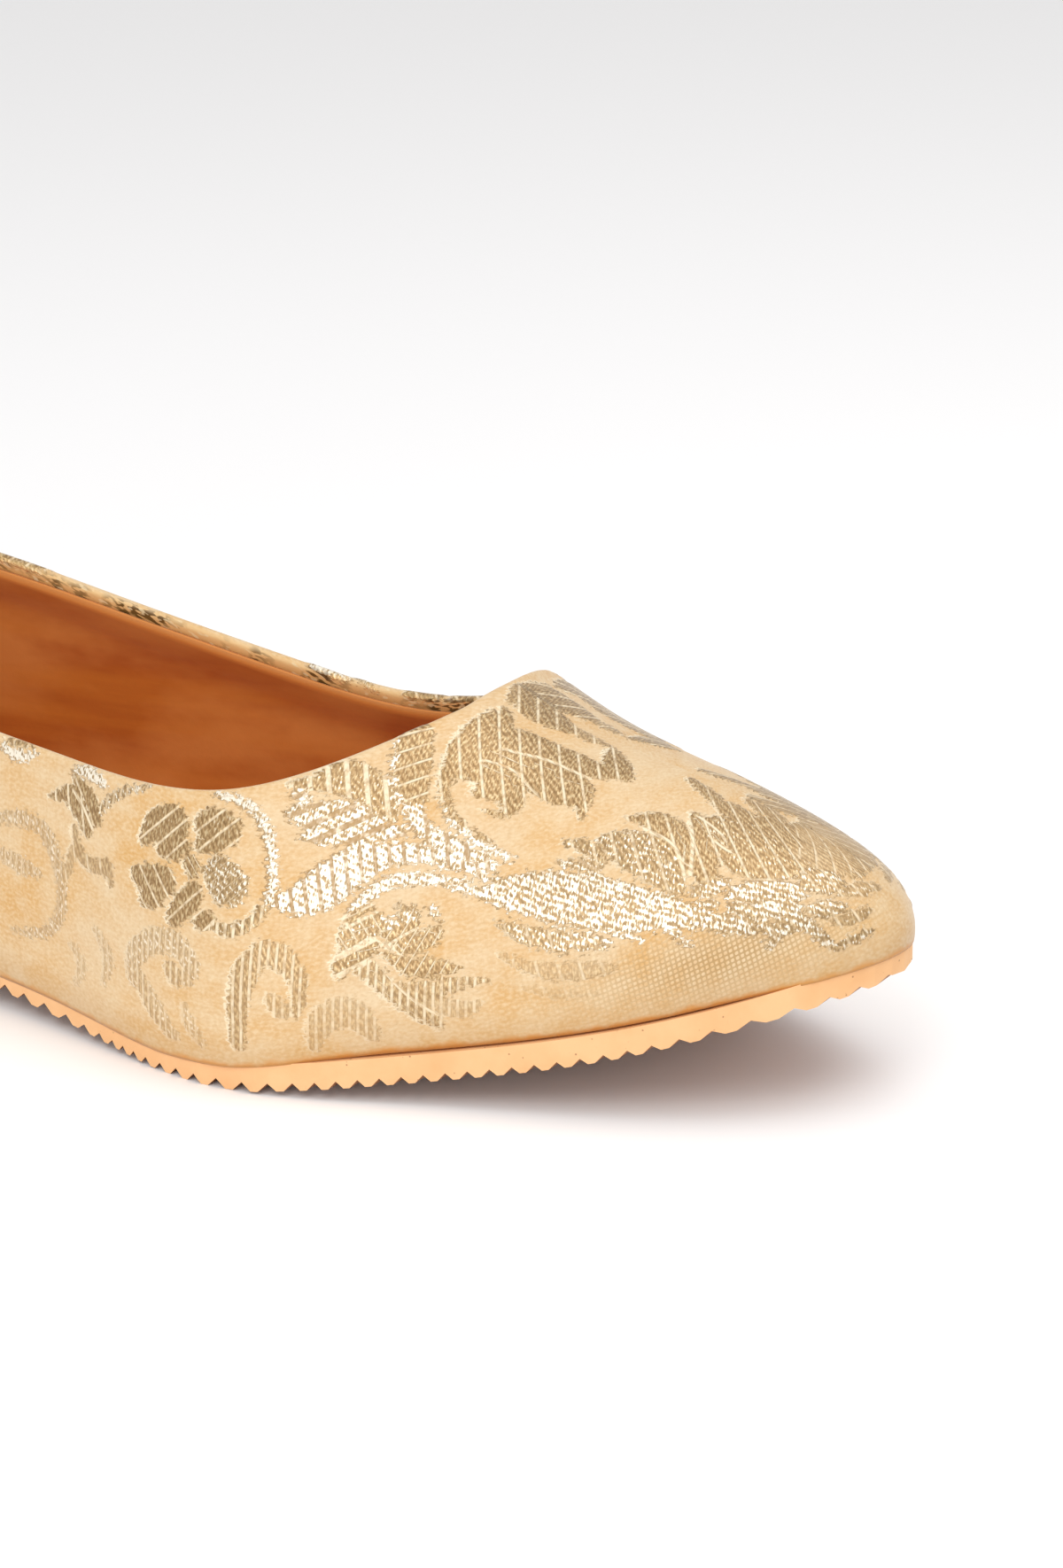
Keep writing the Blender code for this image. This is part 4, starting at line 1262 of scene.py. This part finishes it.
def open_lines(cloth, place):
    """Single open lines, twisted like a rope from the twill beside them."""
    add = partial(add_node, cloth)
    lines = add("ShaderNodeAttribute", output="Fac", attribute_name="line")
    lines = add("ShaderNodeMath", [lines], operation="ABSOLUTE")
    lines = add("ShaderNodeMapRange", [lines, 1.6, 0.7])
    line_show = add("ShaderNodeAttribute", output="Fac", attribute_name="line_show")
    lines = add("ShaderNodeMath", [lines, line_show], operation="MULTIPLY")
    twist = add("ShaderNodeMapRange", [bands(cloth, place, HATCH, 45, 1.0), 0.2, 0.6, 0.3, 0.75])
    return add("ShaderNodeMath", [lines, twist], operation="MULTIPLY")


print("share of each rib left open:", RIB_OPEN, "up to", max(WIDE_OPEN.values()))

# %% Where the metal thread floats
LOOM_STEP = 0.6


def figure_masks(cloth, place, in_silver_and_glint):
    """Where metal thread floats, where ribs and lines are left open, and where the painted highlight runs
    along one edge of each figure.
    """
    add = partial(add_node, cloth)
    # The loom steps every edge by single threads, which a fine noise stands for
    steps = noise(cloth, place, LOOM_STEP, (0.7, 1.2, 1))
    steps = add("ShaderNodeMath", [steps, 2.2, -1.1], operation="MULTIPLY_ADD")
    wider = add("ShaderNodeMath", [in_silver_and_glint, 0.35, 1.0], operation="MULTIPLY_ADD")
    steps = add("ShaderNodeMath", [steps, wider], operation="MULTIPLY")
    masks = []
    for name in ("figure", "outline"):
        depth = add("ShaderNodeAttribute", output="Fac", attribute_name=name)
        depth = add("ShaderNodeMath", [depth, steps], operation="ADD")
        masks.append(add("ShaderNodeMapRange", [depth, -0.18, 0.18]))
    figure, outline = masks
    opened = [open_ribs(cloth, place, in_silver_and_glint), open_lines(cloth, place)]
    opened = add("ShaderNodeMath", opened, operation="MAXIMUM")
    opened = add("ShaderNodeMath", [opened, figure], operation="MULTIPLY")
    show = add("ShaderNodeAttribute", output="Fac", attribute_name="show")
    floats = add("ShaderNodeMath", [figure, opened], operation="SUBTRACT")
    floats = add("ShaderNodeMath", [floats, show], operation="MULTIPLY")
    # Painted highlight: a pale edge where the shifted figure reaches past the figure itself
    outline = add("ShaderNodeMath", [outline, figure], operation="SUBTRACT", use_clamp=True)
    outline = add("ShaderNodeMath", [outline, 0.9, opened], operation="MULTIPLY_ADD", use_clamp=True)
    outline = add("ShaderNodeMath", [outline, show], operation="MULTIPLY")
    return floats, outline


print("edges of the figures are stepped every", LOOM_STEP, "mm")

# %% Turn-in and the edge above the sole
FRAY_GROUP = 10.0
THREAD_END = 0.9
AMBER_EDGE_PATCH = 3.0


def edge_colors(cloth, place, color):
    """The turn-in is the same cloth, painted a warmer gold for the warm light thrown on it inside the
    collar, with loose dark and light thread ends; painted shade darkens it further down. Above the sole
    the cloth is darkened with painted shade where it curves under, and a patchy amber band is painted
    along its lowest edge."""
    add = partial(add_node, cloth)
    fold = add("ShaderNodeAttribute", output="Fac", attribute_name="fold")
    # Painted light: the turn-in is a warmer gold for the warm light inside the collar, and painted shade
    # darkens it further down
    turned = add("ShaderNodeMapRange", [fold, 0.0, 0.8])
    shade_down_turn_in = add("ShaderNodeMapRange", [fold, 1.2, 3.0])
    groups = add("ShaderNodeMapRange", [noise(cloth, place, FRAY_GROUP, (1, 0.1, 1)), 0.44, 0.54])
    ends = noise(cloth, place, THREAD_END, (0.45, 1.5, 1), 1.0)
    ends = add("ShaderNodeMapRange", [ends, 0.46, 0.52])
    ends = add("ShaderNodeMath", [ends, groups], operation="MULTIPLY")
    specks = noise(cloth, place, THREAD_END, (0.5, 1.2, 1), 1.0)
    specks = add("ShaderNodeMapRange", [specks, 0.6, 0.66, 0.0, 0.7])
    back = tinted(cloth, "EBC588", [(shade_down_turn_in, "D89A4E"), (ends, "6A4E1E"), (specks, "F1DDAE")])
    above = add("ShaderNodeAttribute", output="Fac", attribute_name="above_sole")
    # Painted shade: the cloth darkens towards the sole, where it curves under
    shade_above_sole = add("ShaderNodeMapRange", [above, 5.5, 0.5, 0.0, 0.3])
    # A patchy amber band is painted along the cloth's lowest edge, fading out about a millimetre above the
    # sole
    amber_edge_band = noise(cloth, place, AMBER_EDGE_PATCH)
    amber_edge_band = add("ShaderNodeMath", [amber_edge_band, 1.8, above], operation="MULTIPLY_ADD")
    amber_edge_band = add("ShaderNodeMapRange", [amber_edge_band, 1.9, 1.1, 0.0, 0.85])
    return tinted(cloth, color, [(turned, back), (shade_above_sole, "A67C48"), (amber_edge_band, "C9883A")])


print("thread ends on the turn-in:", THREAD_END, "mm")

# %% Brocade material on the upper
THREAD_RELIEF = 0.12 * MM
# Middle of the pulled cloth by the toe and how far it reaches, round and up in millimetres
CRISP_PLACE = (27.0, 6.5)
CRISP_REACH = (17.0, 4.5)
CRISP_PEAK = 0.75
CRISP_REST = 0.04


def brocade_material():
    """The whole cloth: ground, metal thread, open ribs and lines, then the edges."""
    cloth = new_material("brocade_satin_with_metal_thread")
    add = partial(add_node, cloth)
    place = add("ShaderNodeUVMap", uv_map="cloth")
    place = add("ShaderNodeVectorMath", {0: place, "Scale": CLOTH_SPAN / MM}, operation="SCALE")
    ground, ground_height = brocade_ground(cloth, place)
    threads, twill, silver_and_glint = metal_threads(cloth, place)
    # Where the silvery thread and its painted highlights lie
    in_silver_and_glint = add("ShaderNodeMapRange", [silver_and_glint, 0.3, 0.6])
    floats, opened = figure_masks(cloth, place, in_silver_and_glint)

    # Open ribs look pale between gold threads and brown between silvery ones and their painted highlights.
    # The pale colour also fills the painted highlight along one edge of each figure
    open_color = tinted(cloth, "F2E3C4", [(in_silver_and_glint, "A07C4C")])
    color = tinted(cloth, ground, [(floats, threads), (opened, open_color)])
    color = edge_colors(cloth, place, color)
    height = add("ShaderNodeMath", [twill, 0.3, 0.8], operation="MULTIPLY_ADD")
    height = add("ShaderNodeMath", [height, floats, ground_height], operation="MULTIPLY_ADD")
    bump = add("ShaderNodeBump", {"Height": height, "Distance": THREAD_RELIEF, "Strength": 0.9})
    metal = add("ShaderNodeMath", [floats, 0.45], operation="MULTIPLY")
    roughness = add("ShaderNodeMapRange", [floats, 0.0, 1.0, 0.5, 0.36])
    set_shader(cloth, Base_Color=color, Metallic=metal, Roughness=roughness, Normal=bump,
               Sheen_Weight=0.15, Sheen_Roughness=0.4)
    return cloth


def crisp_weave(along, up):
    """Where the plain weave of the ground shows as a fine net: on the pulled cloth by the toe."""
    round_toe = np.exp(-((along / MM - CRISP_PLACE[0]) / CRISP_REACH[0]) ** 2)
    low = np.exp(-((up / MM - CRISP_PLACE[1]) / CRISP_REACH[1]) ** 2)
    return CRISP_REST + CRISP_PEAK * round_toe * low


set_attribute(upper_mesh, "crisp", crisp_weave(cloth_round, cloth_up))
brocade = brocade_material()
upper = add_piece("brocade_upper", upper_mesh, brocade)
face_outwards(upper_mesh, INSIDE_SHOE)
print("material of the upper:", brocade.name, "with", len(brocade.node_tree.nodes), "nodes")

# %% [markdown]
# ## Relief and creases
# Metal thread floats on top of the ground, so the figures stand up a little. The cloth also has soft
# creases: pleats where it is drawn in round the toe, and shallow troughs where it gives at the ball and
# along the waist. They are placed one by one, and pressed in along the cloth's own normals.
# %% Raise the figures and press in the creases
FIGURE_RELIEF = 0.14 * MM
RELIEF_EDGE = 0.5 * MM
# Places of each soft trough on the cloth, then half its width and its depth, all in millimetres
CREASES = [
    ([(5.5, 0.6), (6.6, 3.6)], 1.0, 0.28),
    ([(8.6, 0.5), (10.2, 3.8)], 1.0, 0.34),
    ([(12, 0.5), (14.2, 3.4)], 1.1, 0.3),
    ([(15.8, 0.4), (18.6, 2.6)], 1.1, 0.22),
    ([(50, 3.4), (57, 6.8), (61.5, 12.4)], 2.4, 0.34),
    ([(57, 27.5), (60.5, 33), (58.5, 38.2)], 3.0, 0.3),
    ([(83, 3.5), (91, 5.2), (99, 4)], 2.0, 0.26),
    ([(104, 6), (118, 8.5), (132, 7.4), (146, 9)], 2.6, 0.36),
    ([(110, 16.5), (124, 17.8), (139, 15.6)], 2.6, 0.24),
    ([(84, 27), (94, 25.4), (104, 27)], 3.2, 0.22),
]


def raise_figures(mesh, depth, show):
    """Lift the cloth's vertices inside the figures, with a soft edge."""
    lift = smooth(depth, -RELIEF_EDGE / 2, RELIEF_EDGE / 2) * FIGURE_RELIEF * show
    points = mesh_points(mesh) + mesh_points(mesh, "normal") * lift[:, None]
    mesh.vertices.foreach_set("co", points.ravel())
    mesh.update()


def press_creases(mesh):
    """Push the cloth in along each crease, deepest in its middle and fading to its ends."""
    vertices = mesh_points(mesh)
    normals = mesh_points(mesh, "normal")
    pushed = np.zeros(len(vertices))
    for places, half_width, depth in CREASES:
        points, _ = smooth_stroke(stroke(places, [half_width] * len(places)))
        along = np.linspace(0.0, math.pi, len(points))
        for point, share in zip(points, np.sin(along)):
            away = np.linalg.norm(vertices - point, axis=1) / (half_width * MM)
            pushed = np.maximum(pushed, depth * MM * share * np.exp(-away**2))
    mesh.vertices.foreach_set("co", (vertices - normals * pushed[:, None]).ravel())
    mesh.update()


raise_figures(upper_mesh, woven["figure"] * MM, woven["show"])
press_creases(upper_mesh)
add_thickness(upper, CLOTH)
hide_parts("upper")
print("figures raised by", FIGURE_RELIEF / MM, "mm,", len(CREASES), "creases pressed in")

# %% [markdown]
# ## Lining
# Inside, a thin tan leather lining covers the backs of the threads. It is cut like the upper, laid in on
# the last after it, and its top edge is folded and stitched over the brocade's turn-in, a few
# millimetres below the collar. So it is the same kind of grid as the upper, moved inwards by the wall's
# thickness, with a slight bulge where it lies on the turn-in.
# %% Lining sizes and face
LINING = 0.5 * MM
LINING_DEPTH = 1.75 * MM
LINING_BULGE = 0.65 * MM
LINING_EDGE = 2.1 * MM
LINING_EDGE_AT_THROAT = 3.0 * MM
LINING_ROWS = 30
LINING_COLUMNS = (44, 50, 36, 74)
BULGE_REACH = (3.0 * MM, 6.6 * MM)
FAR_BELOW = 30 * MM
EDGE_RISE = (0.70, 0.758)


def lining_line(share):
    """The lining's top edge: level under the collar, and as far from it round the throat."""
    return LINING_EDGE + (LINING_EDGE_AT_THROAT - LINING_EDGE) * smooth(share, *EDGE_RISE)


def grid_normals(points, tops):
    """Normals of a grid of sections, out of the shoe. Points on the ridge and on the toe's middle line
    look straight along it, so that both sides stay joined when they are moved."""
    along = np.gradient(points, axis=0)
    up = np.gradient(points, axis=1)
    normals = unit(np.cross(along, up))
    centre = points * (1, 0, 0)
    centre[..., 0] = np.clip(centre[..., 0], HEEL_CENTRE, SOLE_LENGTH - HEEL_CENTRE)
    centre[..., 2] = sole_top(points[..., 0])
    normals *= np.sign(np.sum(normals * (points - centre), axis=-1, keepdims=True))
    normals[tops >= 1.0, -1, 1] = 0.0
    normals[[0, -1], :, 1] = 0.0
    return unit(normals)


def inner_grid():
    """Points of the lining's face as columns and rows, and how far each lies below its top edge."""
    throat = throat_angle(lining_line)
    angles, sides = stations(throat, LINING_COLUMNS)
    tops = top_shares(angles, sides, lining_line)
    points, lengths = even_rows(section_handles(angles, sides), tops, LINING_ROWS)
    below = lengths[:, None] * np.linspace(1.0, 0.0, LINING_ROWS + 1)
    below = np.where(tops[:, None] >= 1.0, FAR_BELOW, below)
    bulge = LINING_BULGE * (1 - smooth(below, *BULGE_REACH))
    points = points - grid_normals(points, tops) * (LINING_DEPTH + bulge)[..., None]
    points[..., 0] -= CENTRE_X
    return points, below


print("lining lies", round(LINING_DEPTH / MM, 2), "mm inside the cloth's face")

# %% Lining piece
def add_lining(material):
    """The leather lining, with how far each vertex lies below its top edge."""
    points, below = inner_grid()
    lining_map = np.stack([np.linalg.norm(points - points[:1], axis=-1), below], axis=-1) / CLOTH_SPAN
    mesh = place_grid("lining", points, lining_map)
    lining = add_piece("lining", mesh, material)
    face_outwards(mesh, INSIDE_SHOE)
    mesh.flip_normals()
    uv, owner = loop_map(mesh)
    depth_below = np.zeros(len(mesh.vertices))
    depth_below[owner] = uv[:, 1] * CLOTH_SPAN
    set_attribute(mesh, "below_edge", depth_below / MM)
    add_thickness(lining, LINING)
    return lining


print("face of the lining:", inner_grid()[0].shape[:2], "columns and rows")

# %% Lining leather
LEATHER_STREAK = 8.0
LEATHER_CLOUD = 15.0
LEATHER_GRAIN = 0.9
MATT_RELIEF = 0.08 * MM


def object_millimetres(material):
    """Object coordinates in millimetres."""
    place = add_node(material, "ShaderNodeTexCoord", output="Object")
    return add_node(material, "ShaderNodeVectorMath", {0: place, "Scale": 1 / MM}, operation="SCALE")


def lining_material():
    """Aniline-dyed sheep leather, buffed to a nap: rust brown with soft streaks where it was pulled."""
    leather = new_material("sheep_lining_leather")
    add = partial(add_node, leather)
    place = object_millimetres(leather)
    below = add("ShaderNodeAttribute", output="Fac", attribute_name="below_edge")
    streaks = noise(leather, place, LEATHER_STREAK, (0.14, 0.5, 1.4), 4.0)
    streaks = add("ShaderNodeMapRange", [streaks, 0.36, 0.66])
    clouds = noise(leather, place, LEATHER_CLOUD, (0.5, 1, 1), 4.0)
    clouds = add("ShaderNodeMapRange", [clouds, 0.44, 0.62, 0.0, 0.85])
    shade = add("ShaderNodeMapRange", [below, 10.0, 3.0, 0.0, 0.45])
    # Painted highlight: a lighter band along the lining's rolled top edge
    rolled = add("ShaderNodeMapRange", [below, 1.7, 0.9])
    tints = [(streaks, "CC7A22"), (clouds, "D68A42"), (shade, "8F400F"), (rolled, "CF8238")]
    color = tinted(leather, "AE5710", tints)
    grain = noise(leather, place, LEATHER_GRAIN, detail=3.0)
    bump = add("ShaderNodeBump", {"Height": grain, "Distance": MATT_RELIEF, "Strength": 0.5})
    set_shader(leather, Base_Color=color, Normal=bump, Roughness=0.62,
               Sheen_Weight=0.12, Sheen_Roughness=0.5)
    return leather


lining_leather = lining_material()
lining = add_lining(lining_leather)
print("lining:", len(lining.data.polygons), "faces, edge", LINING_EDGE / MM, "mm under the collar")

# %% [markdown]
# ## Sock
# The sock is the thin leather sheet that one stands on. It is glued over the insole board and its edge
# turns up a little where it meets the lining. It is a grid whose ends lie on the lining at the board's
# height, so it fits however the sides bend.
# %% Sock
SOCK = 0.5 * MM
SOCK_STATIONS = 120
SOCK_ACROSS = 28
SOCK_LIFT = 0.45 * MM
SOCK_FILLET = 0.7 * MM
SOCK_FILLET_POWER = 14
WALL_FOOT = np.linspace(0.0, 0.4, 41)
SEAM_GAP = 0.05 * MM


def inner_wall_at(angles, side, height):
    """Points on the lining's face at the given height of each station."""
    sides = np.full(len(angles), side)
    handles = section_handles(angles, sides)
    points = section_points(handles, np.repeat(WALL_FOOT[None, :], len(angles), axis=0))
    found = [
        [np.interp(level, column_points[:, 2], column_points[:, axis]) for axis in range(3)]
        for level, column_points in zip(height, points)
    ]
    return np.array(found) - outline_normals(angles, sides) * LINING_DEPTH


def add_sock(material):
    """The sock, a sheet from wall to wall over the board."""
    angles = np.linspace(0.0, math.pi, SOCK_STATIONS + 1)
    share = length_share(angles)
    top = sole_top(share * SOLE_LENGTH) + GAP + WALL + GAP + INSOLE_THICKNESS + SOCK_LIFT
    medial = inner_wall_at(angles, MEDIAL, top)
    lateral = inner_wall_at(angles, LATERAL, top)
    medial[[0, -1], 1] = -SEAM_GAP
    lateral[[0, -1], 1] = SEAM_GAP
    across = np.linspace(0.0, 1.0, SOCK_ACROSS + 1)[None, :, None]
    crowded = length_share(across * math.pi)
    points = medial[:, None] * (1 - crowded) + lateral[:, None] * crowded
    points[..., 2] += SOCK_FILLET * np.abs(2 * crowded[..., 0] - 1) ** SOCK_FILLET_POWER
    points[..., 0] -= CENTRE_X
    mesh = place_grid("sock", points)
    sock = add_piece("sock", mesh, material)
    if mesh.polygons[len(mesh.polygons) // 2].normal.z < 0:
        mesh.flip_normals()
    add_thickness(sock, SOCK)
    return sock


sock = add_sock(lining_leather)
set_attribute(sock.data, "below_edge", np.full(len(sock.data.vertices), FAR_BELOW / MM))
print("sock:", [round(value / MM, 1) for value in sock.dimensions], "mm")

# %% [markdown]
# ## Sole, heel lift and insole board
# The outsole is cut from a sheet of tan crepe rubber with pressed ribs, and its edge is sanded flush, so
# it is matt with tiny dark specks of grit. The CAD nodes have the right shape already, so they stay and
# only get their finish. Faces of the ribs that look down are darkened with painted shade.
# %% Rubber
RUBBER_CLOUD = 7.0
GRIT = 0.5
SPECK_SCALE = 1.1


def rubber_material(name, face, deep, underside_shade):
    """Sanded crepe rubber: matt, a little cloudy, with specks, and painted shade on the faces that look
    down.
    """
    rubber = new_material(name)
    add = partial(add_node, rubber)
    place = object_millimetres(rubber)
    clouds = add("ShaderNodeMapRange", [noise(rubber, place, RUBBER_CLOUD, detail=3.0), 0.35, 0.68])
    normal = add("ShaderNodeNewGeometry", output="Normal")
    upward = add("ShaderNodeSeparateXYZ", [normal], 2)
    # Painted shade: faces that look down are darkened
    under = add("ShaderNodeMapRange", [upward, -0.15, -0.6, 0.0, 0.85])
    pores = add("ShaderNodeTexVoronoi", {"Vector": place, "Scale": SPECK_SCALE}, output="Distance")
    pores = add("ShaderNodeMapRange", [pores, 0.2, 0.08, 0.0, 0.75])
    rare = add("ShaderNodeMapRange", [noise(rubber, place, 1.6, detail=0.0), 0.6, 0.66])
    specks = add("ShaderNodeMath", [pores, rare], operation="MULTIPLY")
    color = tinted(rubber, face, [(clouds, deep), (under, underside_shade), (specks, "8A5730")])
    grit = noise(rubber, place, GRIT, detail=3.0)
    bump = add("ShaderNodeBump", {"Height": grit, "Distance": MATT_RELIEF, "Strength": 0.6})
    set_shader(rubber, Base_Color=color, Normal=bump, Roughness=0.68)
    return rubber


print("grit of the sanded rubber:", GRIT, "mm")

# %% Insole board, and new finishes for the CAD pieces
FIBRE = 0.8
FIBRE_RELIEF = 0.1 * MM


def board_material():
    """Leather fibre board: matt brown, felted from leather shavings, so it is mottled all through."""
    board = new_material("leather_fibre_board")
    add = partial(add_node, board)
    place = object_millimetres(board)
    fibres = noise(board, place, FIBRE, (1, 0.4, 1), 4.0)
    mottle = add("ShaderNodeMapRange", [fibres, 0.35, 0.65])
    color = tinted(board, "7A4520", [(mottle, "A86B38")])
    bump = add("ShaderNodeBump", {"Height": fibres, "Distance": FIBRE_RELIEF, "Strength": 0.5})
    set_shader(board, Base_Color=color, Normal=bump, Roughness=0.8)
    return board


FINISHES = {
    "outsole": rubber_material("sanded_crepe_rubber", "EFBC87", "E7B079", "8C522B"),
    "heel_lift": rubber_material("moulded_lift_rubber", "D69A63", "C78B52", "7F4B28"),
    "insole": board_material(),
}
for node, finish in FINISHES.items():
    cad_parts[node].material_slots[0].material = finish
    print("new finish on the", node + ":", finish.name)

# %% [markdown]
# ## Floor and light
# The shoe stands on a white sweep in soft light from all sides. A big softbox hangs overhead, which
# makes the shadow hug the sole. Two smaller ones stand in front, one high and one low: they are what the
# metal threads throw back.
# %% Floor
FLOOR_SIZE = 6.0
FLOOR_DROP = 0.02 * MM
PAPER_TOOTH = 1.0
PAPER_RELIEF = 0.02 * MM


def add_floor():
    """White paper just under the lowest point of the sole."""
    bpy.ops.mesh.primitive_plane_add(size=FLOOR_SIZE, location=(0.0, 0.0, -FLOOR_DROP))
    floor = bpy.context.object
    floor.name = "floor"
    paper = new_material("white_background_paper")
    place = object_millimetres(paper)
    tooth = noise(paper, place, PAPER_TOOTH)
    bump = add_node(paper, "ShaderNodeBump", {"Height": tooth, "Distance": PAPER_RELIEF, "Strength": 0.2})
    set_shader(paper, Base_Color=linear("FBFAFA"), Normal=bump, Roughness=0.9, Specular_IOR_Level=0.1)
    floor.data.materials.append(paper)


add_floor()
print("floor:", FLOOR_SIZE, "m wide")

# %% World and lights
WORLD_STRENGTH = 0.76
# Name, place, what it is aimed at, width and height in metres, power in watts
SOFTBOXES = [
    ("overhead_softbox", (0.35, 0.05, 0.88), (0.0, 0.0, 0.0), (0.7, 0.7), 3.1),
    ("high_front_softbox", (0.2, -0.6, 0.62), (0.03, 0.0, 0.02), (0.4, 0.4), 1.4),
    ("front_softbox", (0.1, -0.75, 0.16), (0.05, 0.0, 0.02), (0.35, 0.25), 1.15),
]


def add_softbox(name, place, target, size, power):
    """Rectangular light at a place, aimed at a target."""
    data = bpy.data.lights.new(name, "AREA")
    data.shape = "RECTANGLE"
    data.size, data.size_y = size
    data.energy = power
    light = bpy.data.objects.new(name, data)
    bpy.context.scene.collection.objects.link(light)
    away = Vector(place) - Vector(target)
    turn = away.to_track_quat("Z", "Y").to_matrix().to_4x4()
    light.matrix_world = Matrix.Translation(Vector(place)) @ turn


def add_world(strength):
    """Even white light from all round."""
    world = bpy.data.worlds.new("studio")
    world.use_nodes = True
    background = world.node_tree.nodes["Background"]
    background.inputs["Color"].default_value = linear("FFFFFF")
    background.inputs["Strength"].default_value = strength
    bpy.context.scene.world = world


add_world(WORLD_STRENGTH)
for softbox in SOFTBOXES:
    add_softbox(*softbox)
bpy.context.scene.view_settings.view_transform = "Standard"
